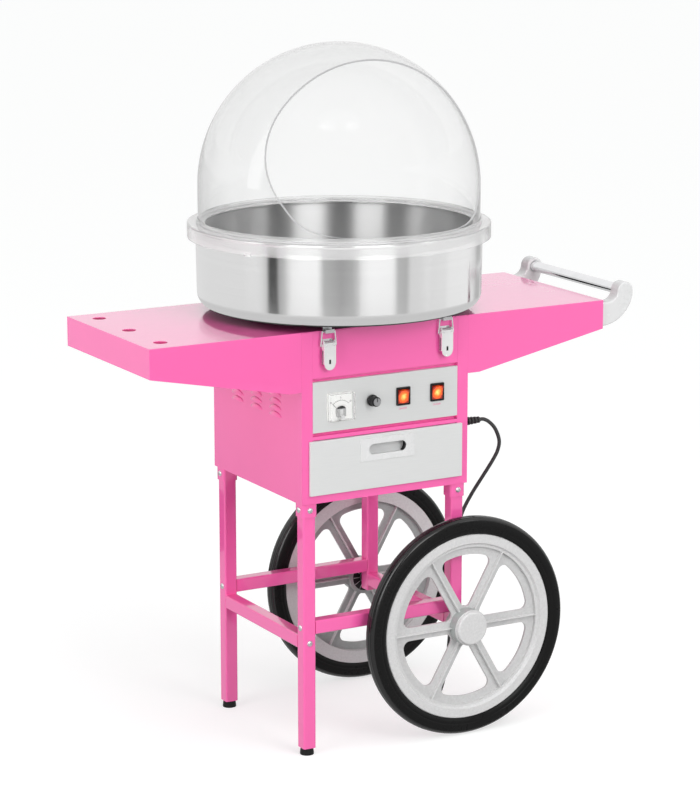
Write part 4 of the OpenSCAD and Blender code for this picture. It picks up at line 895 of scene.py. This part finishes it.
class CART_OT_cord(bpy.types.Operator):
    """Mains cord with its strain relief, put-away coil, tie and plug"""

    bl_idname = "cart.cord"
    bl_label = "Cord"

    def execute(self, context):
        sizes = context.scene.cart_sizes
        points = cord_route()
        data = bpy.data.curves.new("cord", "CURVE")
        data.dimensions = "3D"
        data.resolution_u = 5
        data.bevel_depth = sizes.cord_diameter / 2
        data.bevel_resolution = 4
        data.use_fill_caps = True
        line = data.splines.new("BEZIER")
        line.bezier_points.add(len(points) - 1)
        for i, (knot, point) in enumerate(zip(line.bezier_points, points)):
            slope = (points[min(i + 1, len(points) - 1)] - points[max(i - 1, 0)]) / 6
            knot.co = point
            knot.handle_left_type = knot.handle_right_type = "FREE"
            knot.handle_left = point - slope
            knot.handle_right = point + slope
        cord = bpy.data.objects.new("mains_cord", data)
        context.collection.objects.link(cord)
        fit_out(cord, "cart", "cord_rubber", "cord_rubber", "cord_lead", "cord_coil")

        plug = refine("cord_plug", sizes.moulded_edge, 3)
        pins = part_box("cord_plug")[1].x - 0.0188
        tone_faces(plug, lambda face: int(face.center.x > pins))
        fit_out(plug, "cart", "black_plastic", "black_plastic chrome", "cord_plug")
        tie = dress("cord_tie", FINE_EDGE)
        gland = dress("cord_gland", FINE_EDGE)
        rings = self.boot_rings()
        round(route_length(points), 4)
        return {"FINISHED"}

    def boot_rings(self):
        """Raised rings along the strain relief's boot, smaller towards its tip."""
        section = [(0.0040, 0.0), (0.0074, 0.0), (0.0080, 0.0006), (0.0080, 0.0036), (0.0074, 0.0042),
                   (0.0040, 0.0042)]
        ring = turned("cord_boot_rings", section, Vector((0, 0, 0)), ALONG_Y, 48)
        smooth(ring, 50)
        tip = middle("cord_gland")
        tip.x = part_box("cord_gland")[1].x
        along_x = Matrix.Rotation(-math.pi / 2, 4, "Z")
        places = []
        for back, wide in ((0.0258, 0.94), (0.0185, 0.88), (0.0112, 0.82), (0.0044, 0.75)):
            shift = Matrix.Translation(tip - Vector((back, 0, 0)))
            places.append(shift @ along_x @ Matrix.Diagonal((wide, 1, wide, 1)))
        return fit_out(copies(ring, places), "cart", "black_rubber", "cord_rubber")


# ---------------------------------------------------------------- cabinet


class CART_OT_sheet_metal(bpy.types.Operator):
    """Cabinet, wings, legs and rails with softened edges under pink paint"""

    bl_idname = "cart.sheet_metal"
    bl_label = "Sheet metal"

    def execute(self, context):
        edge = context.scene.cart_sizes.sheet_edge
        for node in ("cabinet_shell", "front_panel", "top_deck"):
            dress(node, edge)
        for node in ("left_wing", "right_wing"):
            dress(node, edge).visible_glossy = False
        for node in ("leg_sockets", "long_legs", "short_legs", "leg_rails"):
            dress(node, edge * 0.7)
        dress("leg_feet", SOFT_EDGE)
        dress("frame_bolts")
        return {"FINISHED"}


class CART_OT_louvres(bpy.types.Operator):
    """Pressed hoods over the slots in the cabinet's sides"""

    bl_idname = "cart.louvres"
    bl_label = "Louvres"

    def execute(self, context):
        sizes = context.scene.cart_sizes
        rows, columns, top, row_pitch, column_pitch = 4, (-1, 0, 1), 0.654, 0.0124, 0.0735
        hood = new_object("louvre_hoods", bpy.ops.mesh.primitive_uv_sphere_add, segments=28, ring_count=14,
                          radius=1)
        edit(hood)
        bpy.ops.transform.resize(value=(sizes.hood_out, sizes.hood_half, sizes.hood_rise))
        for across in ((0, 0, 1), (1, 0, 0)):
            bpy.ops.mesh.select_all(action="SELECT")
            bpy.ops.mesh.bisect(plane_co=(0, 0, 0), plane_no=across, clear_inner=True)
        done()
        apply_modifier(hood, "SOLIDIFY", thickness=0.0009, offset=-1.0)
        smooth(hood, 50)
        places = []
        for row in range(rows):
            for column in columns:
                for side, x in ((1, SHELL_HIGH.x), (-1, SHELL_LOW.x)):
                    shift = Vector((x, column * column_pitch, top - row * row_pitch))
                    places.append(Matrix.Translation(shift) @ Matrix.Diagonal((side, 1, 1, 1)))
        hoods = copies(hood, places)
        smooth(hoods, 50)
        fit_out(hoods, "cart", "pink_paint", "pink_paint")
        return {"FINISHED"}


# ---------------------------------------------------------------- controls


class CART_OT_controls(bpy.types.Operator):
    """Control panel with its meter, knob and lit rockers"""

    bl_idname = "cart.controls"
    bl_label = "Controls"

    def execute(self, context):
        dress("control_panel", SMALL_EDGE)
        low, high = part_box("control_panel")
        half, lap = 0.0004, 0.0052
        depth, height = (low.y + 0.0004, high.y + 0.002), (low.z - lap, high.z + lap)
        end = strip("channel_ends", 0, half, depth, height, 0.0001, 1)
        ends = copies(end, [Matrix.Translation((x, 0, 0)) for x in (low.x - half, high.x + half)])
        fit_out(ends, "cart", "pink_paint", "pink_paint")
        self.meter()
        dress("knob", FINE_EDGE)
        self.knob_cap()
        dress("switch_housings", CASE_EDGE)
        words_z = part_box("switch_housings")[0].z - 0.0065
        for node, lens in (("fan_rocker", "fan_lens"), ("heat_rocker", "heat_lens")):
            fit_out(refine(node, CASE_EDGE), body_of(node), "amber", lens, node)
            place = Vector((middle(node).x, SHELL_LOW.y - 0.00005, words_z))
            words = lettering(node + "_words", "ON/OFF", 0.0046, place)
            fit_out(words, "cart", "pink_paint", "panel_ink")
        paint("pot_body")
        return {"FINISHED"}

    def knob_cap(self):
        """Silver cap with a dark pointer slot."""
        cap = refine("knob_cap", THIN_EDGE)
        front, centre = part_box("knob_cap")[0].y, middle("knob_cap")

        def in_slot(face):
            away = face.center - centre
            deep = front + 0.0001 < face.center.y < front + 0.001
            return int(deep and abs(away.x) < 0.00085 and -0.0002 < away.z < 0.0068)

        tone_faces(cap, in_slot)
        fit_out(cap, "knob", "chrome", "knob_silver needle_black", "knob_cap")

    def meter(self):
        """White dial with its scale, pointer, black shield and clear cover."""
        case = refine("meter_case", CASE_EDGE)
        tone_faces(case, lambda face: int(face.center.y < SHELL_LOW.y - 0.0001))
        fit_out(case, "cart", "black_plastic", "black_plastic dial_white", "meter_case")
        dress("meter_cover", SOFT_EDGE)
        centre, face, half = middle("meter_case"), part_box("meter_cover")[1].y, 0.0235
        x, z = centre.x, centre.z
        dial = strip("meter_dial", x, half, (face - 0.0006, face - 0.0001), (z - half, z + half), THIN_EDGE)
        fit_out(dial, "cart", "bracket_white", "dial_white")
        pivot = Vector((x, face - 0.0007, z - 0.011))
        self.meter_scale(pivot)

        plane = middle("meter_needle").y
        depth = (plane - 0.0002, plane + 0.0002)
        needle = strip("meter_pointer", 0, 0.00028, depth, (-0.004, half), 0.00005, 1)
        at_zero = Matrix.Rotation(math.radians(-45), 4, "Y")
        needle = copies(needle, [Matrix.Translation((x, 0, pivot.z)) @ at_zero])
        fit_out(needle, "needle", "needle_black", "needle_black", "meter_needle")

        self.meter_shield(x, z, face)
        self.zero_screw(x, pivot.z - 0.0075)

    def meter_scale(self, pivot):
        """The dial's arc, strokes and numbers, in one piece."""
        radius, inner, long_end, number_radius = 0.0225, 0.0220, 0.0248, 0.0276
        arc = new_object("meter_scale", bpy.ops.mesh.primitive_circle_add, vertices=96, radius=radius,
                         fill_type="NOTHING", location=pivot, rotation=FACING_FRONT)
        settle(arc)
        edit(arc, "DESELECT")
        mesh = bmesh.from_edit_mesh(arc.data)
        for vertex in mesh.verts:
            away = vertex.co - pivot
            vertex.select = away.z < abs(away.x) * 0.999
        mesh.select_flush_mode()
        bpy.ops.mesh.delete(type="VERT")
        bpy.ops.mesh.select_all(action="SELECT")
        bpy.ops.mesh.extrude_region_move()
        share = inner / radius
        bpy.ops.transform.resize(value=(share, 1, share), center_override=pivot)
        face_outward()
        apply_modifier(arc, "SOLIDIFY", thickness=0.0001, offset=0.0)

        stroke = strip("dial_stroke", 0, 0.00017, (-0.00005, 0.00005), (radius, long_end), 0.00003, 1)
        places = []
        for i in range(11):
            share = 1.0 if i % 5 == 0 else 0.55
            turn = Matrix.Rotation(math.radians(45 - 9 * i), 4, "Y")
            stretch = Matrix.Translation((0, 0, radius * (1 - share))) @ Matrix.Diagonal((1, 1, share, 1))
            places.append(Matrix.Translation(pivot) @ turn @ stretch)
        marks = [arc, copies(stroke, places)]
        for i, number in enumerate(("0", "5", "10")):
            angle = math.radians(135 - 45 * i)
            out = Vector((math.cos(angle), 0, math.sin(angle)))
            spot = pivot + out * number_radius - Vector((0, 0, 0.0004))
            marks.append(lettering("dial_number_%d" % i, number, 0.0048, spot))
        fit_out(join(marks), "cart", "needle_black", "needle_black")

    def meter_shield(self, x, z, face):
        """The black shield over the pivot, with its grey skirt and a raised lighter strip down the skirt's
        middle as a painted highlight.
        """
        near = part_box("meter_needle")[0].y - 0.0006
        crown = Vector((x, near - 0.0005, z - 0.0075))
        shield = new_object("meter_shield", bpy.ops.mesh.primitive_cylinder_add, vertices=64, radius=0.0095,
                            depth=0.001, rotation=FACING_FRONT, location=crown)
        settle(shield)
        edit(shield)
        bpy.ops.mesh.bisect(plane_co=crown + Vector((0, 0, 0.0042)), plane_no=(0, 0, -1), clear_outer=True,
                            use_fill=True)
        done()
        soften(shield, THIN_EDGE)
        smooth(shield)
        fit_out(shield, "cart", "black_plastic", "black_plastic")
        skirt = strip("meter_skirt", x, 0.0090, (near - 0.0009, near), (z - 0.0180, z - 0.0030), 0.0004)
        depth, height = (near - 0.0005, face - 0.0003), (z - 0.0178, z - 0.0150)
        foot = strip("skirt_foot", x, 0.0085, depth, height, THIN_EDGE)
        fit_out(join([skirt, foot]), "cart", "wheel_grey", "dial_grey")
        # A raised strip in lighter grey down the skirt's middle: painted highlight.
        depth, height = (near - 0.0013, near - 0.0006), (z - 0.0178, z - 0.0045)
        highlight_strip = strip("meter_skirt_painted_highlight", x, 0.0032, depth, height, FINE_EDGE)
        fit_out(highlight_strip, "cart", "wheel_grey", "wheel_grey")

    def zero_screw(self, x, z):
        """The slotted screw in the meter's cover."""
        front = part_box("meter_cover")[0].y
        screw = new_object("meter_zero_screw", bpy.ops.mesh.primitive_cylinder_add, vertices=40,
                           radius=0.0042, depth=0.0012, rotation=FACING_FRONT,
                           location=(x, front - 0.0005, z))
        settle(screw)
        soften(screw, SMALL_EDGE)
        cut(screw, strip("screw_slot", x, 0.0036, (front - 0.0016, front - 0.0008), (z - 0.0005, z + 0.0005),
                         0.0001, 1))
        smooth(screw)
        fit_out(screw, "cart", "wheel_grey", "wheel_grey")


# ---------------------------------------------------------------- drawer


class CART_OT_drawer(bpy.types.Operator):
    """Drawer box, satin front and recessed pull"""

    bl_idname = "cart.drawer"
    bl_label = "Drawer"

    def execute(self, context):
        # The drawer front takes a lightened copy of the panel's plate: painted light.
        fit_out(refine("drawer_front", 0.0009, 3), "drawer", "grey_panel", "drawer_plate_painted_light", "drawer_front")
        pull = refine("drawer_pull", CASE_EDGE)
        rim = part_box("drawer_front")[0].y
        inside = [face for face in pull.data.polygons if face.center.y > rim + 0.0006]
        # Painted shade: the pull's inside takes a darker white, and the inner wall at the slot's right end
        # takes black plastic.
        end = max(face.center.x for face in inside if face.normal.x < -0.5)
        for face in inside:
            face.material_index = 2 if face.normal.x < -0.3 and face.center.x > end - 0.012 else 1
        fit_out(pull, "drawer", "bracket_white", "bracket_white pull_inside black_plastic", "drawer_pull")
        dress("drawer_box", SMALL_EDGE)
        paint("drawer_runners")
        return {"FINISHED"}


# ---------------------------------------------------------------- latches


class CART_OT_latches(bpy.types.Operator):
    """Four toggle latches: levers with rivets, wire bails, bases and catches"""

    bl_idname = "cart.latches"
    bl_label = "Latches"

    def execute(self, context):
        radius = context.scene.cart_sizes.rivet_radius
        for corner in CORNERS:
            lever = corner + "_lever"
            fit_out(refine(lever, FINE_EDGE), lever, "chrome", "latch_plate", lever)
            outward = -1 if corner.startswith("front") else 1
            low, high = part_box(lever)
            face = Vector(((low.x + high.x) / 2, low.y if outward < 0 else high.y, 0))
            # A black insert fills the lever's slot as painted shade.
            self.slot_shade(corner, face + Vector((0, 0, low.z + 0.015)), outward)
            dress(corner + "_bail", crease=60)
            self.rivets(corner, face + Vector((0, 0, high.z - 0.0085)), outward, radius)
        dress("latch_bases", 0.00025)
        dress("bowl_catches", FINE_EDGE)
        return {"FINISHED"}

    def slot_shade(self, corner, place, outward):
        """A black insert in a lever's slot: painted shade where the slot is dark."""
        depth = sorted((place.y - outward * 0.0003, place.y - outward * 0.0014))
        height = (place.z - 0.00395, place.z + 0.00395)
        slot_shade = strip(corner + "_slot_shade", place.x, 0.00195, depth, height, THIN_EDGE, 1)
        fit_out(slot_shade, corner + "_lever", "black_plastic", "black_plastic")

    def rivets(self, corner, place, outward, radius):
        """Two rivet heads on a lever's plate."""
        aside = Vector((0.0075, 0, 0))
        rivet = new_object(corner + "_rivets", bpy.ops.mesh.primitive_uv_sphere_add, segments=20,
                           ring_count=10, radius=radius)
        edit(rivet)
        bpy.ops.transform.resize(value=(1, 0.5, 1))
        bpy.ops.mesh.bisect(plane_co=(0, 0, 0), plane_no=(0, -outward, 0), clear_outer=True,
                            threshold=0.000001)
        bpy.ops.mesh.select_all(action="SELECT")
        bpy.ops.mesh.fill_holes(sides=0)
        face_outward()
        pair = copies(rivet, [Matrix.Translation(spot) for spot in (place - aside, place + aside)])
        smooth(pair, 60)
        fit_out(pair, corner + "_lever", "chrome", "chrome")


# ---------------------------------------------------------------- wheels

RIM_REACH, HUB_REACH, RIB_HEIGHT = 0.1515, 0.0345, 0.008

# Half of a tyre's section: how far below its crown, and how far aside.
TYRE_SECTION = (
    (0.0000, 0.0000), (0.0001, 0.0014), (0.0012, 0.0018), (0.0012, 0.0026), (0.0004, 0.0030),
    (0.0009, 0.0066), (0.0021, 0.0070), (0.0022, 0.0078), (0.0014, 0.0082), (0.0028, 0.0108),
    (0.0046, 0.0128), (0.0060, 0.0133), (0.0066, 0.0141), (0.0072, 0.0151), (0.0110, 0.0164),
    (0.0150, 0.0169), (0.0180, 0.0170), (0.0205, 0.0165), (0.0213, 0.0157), (0.0224, 0.0157),
    (0.0236, 0.0163), (0.0262, 0.0158), (0.0290, 0.0146), (0.0316, 0.0128),
)
TYRE_SIDE, TREAD_DEPTH = 0.017, 0.0062
TYRE_SEAT = ((0.0318, 0.0099), (0.0388, 0.0097))


class CART_OT_wheels(bpy.types.Operator):
    """Spoked wheels with grooved tyres, hub caps, axle and spacers"""

    bl_idname = "cart.wheels"
    bl_label = "Wheels"

    def execute(self, context):
        sizes = context.scene.cart_sizes
        for end, outward in (("front", -1), ("rear", 1)):
            centre = middle(end + "_tyre")
            self.tones(dress(end + "_wheel", sizes.moulded_edge, 2, 40, 40), centre, outward)
            dress(end + "_hub_cap", SMALL_EDGE)
            self.tyre(end, centre, sizes)
            self.inner_ribs(end, centre, -outward)
        dress("wheel_axle", SMALL_EDGE)
        dress("axle_spacers", SOFT_EDGE)
        return {"FINISHED"}

    def tones(self, wheel, centre, outward):
        """Painted shade: deeper greys in a wheel's recesses, on its hub's side and on its inner side."""
        def tone(face):
            away = [wheel.data.vertices[v].co - centre for v in face.vertices]
            reach = max(math.hypot(v.x, v.z) for v in away)
            height = min(v.y * outward for v in away)
            facing = face.normal.y * outward
            if facing < -0.3 and reach < RIM_REACH or abs(facing) < 0.5 and reach < HUB_REACH:
                return 2
            return int(reach < RIM_REACH and height < RIB_HEIGHT)

        # Darker greys as painted shade in the recesses, on the hub's side and on the inner side.
        for name in ("wheel_painted_shade", "wheel_inside_painted_shade"):
            wheel.data.materials.append(finish(name))
        tone_faces(wheel, tone)

    def inner_ribs(self, end, centre, inward):
        """Ribs behind the spokes, and the hub's dark hollow with its webs."""
        body = end + "_wheel"

        def fins(name, start, stop, half, near, far, count):
            low, high = sorted((inward * near, inward * far))
            fin = slab(end + name, (start, low, -half), (stop, high, half), 0.0003)
            places = [Matrix.Translation(centre) @ Matrix.Rotation(2 * math.pi * i / count, 4, "Y")
                      for i in range(count)]
            fit_out(copies(fin, places), body, "wheel_grey", "wheel_grey")

        fins("_wheel_ribs", 0.030, 0.1512, 0.0013, 0.0026, 0.0090, 6)
        section = ((0.0122, 0.0138), (0.0275, 0.0138), (0.0275, 0.0143), (0.0270, 0.0146), (0.0127, 0.0146),
                   (0.0122, 0.0143))
        hollow = turned(end + "_hub_hollow", [(r, inward * y) for r, y in section], centre, ALONG_Y, 64)
        smooth(hollow, 30)
        fit_out(hollow, body, "black_plastic", "black_plastic")
        fins("_hub_webs", 0.0135, 0.0268, 0.0005, 0.0142, 0.0152, 12)

    def tyre(self, end, centre, sizes):
        """A tyre turned from its section, with side rings and tread grooves."""
        low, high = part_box(end + "_tyre")
        outer = (high.x - low.x) / 2
        side = sizes.tyre_side / TYRE_SIDE
        outside = [(outer - d, s * side) for d, s in TYRE_SECTION] + [(outer - d, s) for d, s in TYRE_SEAT]
        profile = [(r, -s) for r, s in reversed(outside)] + outside[1:]
        tyre = turned(end + "_tyre_turned", profile, centre, ALONG_Y, sizes.tyre_steps)
        smooth(tyre, 38)

        def on_tread(face):
            away = face.center - centre
            return int(math.hypot(away.x, away.z) > outer - TREAD_DEPTH)

        tone_faces(tyre, on_tread)
        fit_out(tyre, end + "_wheel", "tyre_rubber", "tyre_rubber tyre_tread", end + "_tyre")


# ---------------------------------------------------------------- handle


class CART_OT_handle(bpy.types.Operator):
    """Push handle: two rounded horns and a polished bar"""

    bl_idname = "cart.handle"
    bl_label = "Handle"

    def execute(self, context):
        horns = refine("handle_brackets", context.scene.cart_sizes.bracket_edge, 4, 40, 40)
        apply_modifier(horns, "REMESH", mode="VOXEL", voxel_size=0.0016)
        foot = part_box("handle_brackets")[0].x + 0.003
        free = horns.vertex_groups.new(name="free")
        free.add([v.index for v in horns.data.vertices if v.co.x > foot], 1.0, "REPLACE")
        apply_modifier(horns, "SMOOTH", factor=0.5, iterations=14, vertex_group="free")
        horns.vertex_groups.clear()
        smooth(horns, 60)
        fit_out(horns, "cart", "bracket_white", "bracket_white", "handle_brackets")
        dress("handle_bar", SMALL_EDGE)
        return {"FINISHED"}


# ---------------------------------------------------------------- bowl, dome and drive

DOME_WALL, DOME_STRAIGHT, ROUND_STEPS = 0.003, 0.066, 160


class CART_OT_bowl(bpy.types.Operator):
    """Steel bowl on its seat, clear dome with its ring, and the spinner"""

    bl_idname = "cart.bowl"
    bl_label = "Bowl and dome"

    def execute(self, context):
        dome_low, dome_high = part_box("dome")
        foot, radius = Vector((CART_X, 0, dome_low.z)), (dome_high.x - dome_low.x) / 2
        self.bowl()
        dress("bowl_seat", 0.0008)
        self.dome(foot, radius)
        self.ring(foot, radius + 0.0003)
        for node, edge in (("spinner_base", SMALL_EDGE), ("spinner_band", THIN_EDGE),
                           ("spinner_cap", SMALL_EDGE), ("spinner_shaft", FINE_EDGE),
                           ("motor_body", SMALL_EDGE), ("brush_holder", SMALL_EDGE)):
            dress(node, edge)
        return {"FINISHED"}

    def bowl(self):
        """The turned bowl: black rubber under its floor and a darker copy of its steel inside, both painted
        shade.
        """
        bowl = refine("bowl", crease=40)
        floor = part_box("bowl")[0].z + 0.004

        def tone(face):
            inward = Vector((CART_X - face.center.x, -face.center.y, 0)).normalized().dot(face.normal)
            # Black rubber on the underside of the floor: a dark sheet put in as painted shade.
            if face.normal.z < -0.75 and face.center.z < floor:
                return 1
            # Inward faces and the bowl's floor take the darker steel: painted shade.
            return 2 if inward > 0.5 or face.normal.z > 0.8 else 0

        tone_faces(bowl, tone)
        fit_out(bowl, "cart", "bowl_steel", "bowl_steel black_rubber bowl_inside", "bowl")

    def dome(self, foot, radius):
        """The clear bell, turned from its section and cut by its mouth."""
        steps = 44
        section = [(radius - DOME_WALL, 0.0), (radius, 0.0)]
        for reach, first, last in ((radius, 0, 90), (radius - DOME_WALL, 90, 0)):
            for i in range(steps + 1):
                angle = math.radians(first + (last - first) * i / steps)
                section.append((reach * math.cos(angle), DOME_STRAIGHT + reach * math.sin(angle)))
        dome = turned("dome_bell", section, foot, ALONG_Z, ROUND_STEPS)
        cut(dome, self.mouth(foot, radius))
        smooth(dome, 30)
        dome.data.materials.clear()
        crown = foot + Vector((0, 0, DOME_STRAIGHT))

        # The shell's cut edges take opaque grey: painted shade.
        def on_edge(face):
            away = face.center - crown
            away.z = max(away.z, 0)
            return int(abs(away.normalized().dot(face.normal)) <= 0.75)

        tone_faces(dome, on_edge)
        fit_out(dome, "dome", "clear_plastic", "clear_plastic dome_edge", "dome")

    def ring(self, foot, collar):
        """The translucent base ring with its skirt, collar and four clips."""
        low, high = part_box("dome_ring")
        outer, wall, shelf = (high.x - low.x) / 2, 0.003, 0.033
        section = [
            (outer - shelf, -wall), (outer - wall, -wall), (outer - wall, -0.027), (outer, -0.027),
            (outer, -0.0015), (outer - 0.0015, 0.0), (collar + wall, 0.0), (collar + wall, 0.007),
            (collar, 0.007), (collar, 0.0), (outer - shelf, 0.0)]
        ring = turned("dome_ring_turned", section, foot, ALONG_Z, ROUND_STEPS)
        soften(ring, SOFT_EDGE)
        clip = slab("ring_clips", (outer - 0.007, -0.007, -0.0295), (outer - 0.0014, 0.007, -0.0245), 0.0008)
        clips = copies(clip, [Matrix.Translation(foot) @ Matrix.Rotation(math.radians(a), 4, "Z")
                              for a in (25, 155, 205, -25)])
        join([ring, clips])
        smooth(ring)
        fit_out(ring, "dome", "frosted_plastic", "frosted_plastic", "dome_ring")

    def mouth(self, foot, radius):
        """The block that cuts the mouth: upright above, sloping to a low sill, with rounded turns."""
        brow, toe, sill, reach, top, half = 0.153 - radius, 0.065 - radius, 0.007, -0.277, 0.36, 0.3
        bend = (brow, DOME_STRAIGHT + 0.082)
        outline = [(brow, top)] + fillet((brow, top), bend, (toe, sill), 0.30)
        outline += fillet(bend, (toe, sill), (reach, sill), 0.085) + [(reach, sill), (reach, top)]
        cutter = new_object("mouth_cutter", bpy.ops.mesh.primitive_circle_add, vertices=len(outline),
                            radius=0.01, fill_type="NGON")
        for vertex, (y, z) in zip(cutter.data.vertices, outline):
            vertex.co = Vector((CART_X - half, y, foot.z + z))
        edit(cutter)
        bpy.ops.mesh.extrude_region_move(TRANSFORM_OT_translate={"value": (2 * half, 0, 0)})
        face_outward()
        return cutter


# ---------------------------------------------------------------- panel and run

PIECES = (
    CART_OT_stage, CART_OT_cord, CART_OT_sheet_metal, CART_OT_louvres, CART_OT_controls, CART_OT_drawer,
    CART_OT_latches, CART_OT_wheels, CART_OT_handle, CART_OT_bowl,
)
SETTINGS = {"cart_sizes": CartSizes, "cart_colours": CartColours, "cart_studio": CartStudio}


class CART_PT_panel(bpy.types.Panel):
    """Lists the cart's pieces, sizes and colours"""

    bl_idname = "CART_PT_panel"
    bl_label = "Cotton Candy Cart"
    bl_space_type = "VIEW_3D"
    bl_region_type = "UI"
    bl_category = "Cart"

    def draw(self, context):
        for piece in PIECES:
            self.layout.operator(piece.bl_idname)
        for name in SETTINGS:
            values = getattr(context.scene, name)
            for key in values.__annotations__:
                self.layout.prop(values, key)


CLASSES = tuple(SETTINGS.values()) + PIECES + (CART_PT_panel,)


def register():
    for cls in CLASSES:
        bpy.utils.register_class(cls)
    for name, cls in SETTINGS.items():
        setattr(bpy.types.Scene, name, PointerProperty(type=cls))


def unregister():
    for name in SETTINGS:
        delattr(bpy.types.Scene, name)
    for cls in reversed(CLASSES):
        bpy.utils.unregister_class(cls)


def main():
    register()
    bpy.ops.cart.stage()
    bpy.ops.cart.cord()
    bpy.ops.cart.sheet_metal()
    bpy.ops.cart.louvres()
    bpy.ops.cart.controls()
    bpy.ops.cart.drawer()
    bpy.ops.cart.latches()
    bpy.ops.cart.wheels()
    bpy.ops.cart.handle()
    bpy.ops.cart.bowl()


if __name__ == "__main__":
    main()
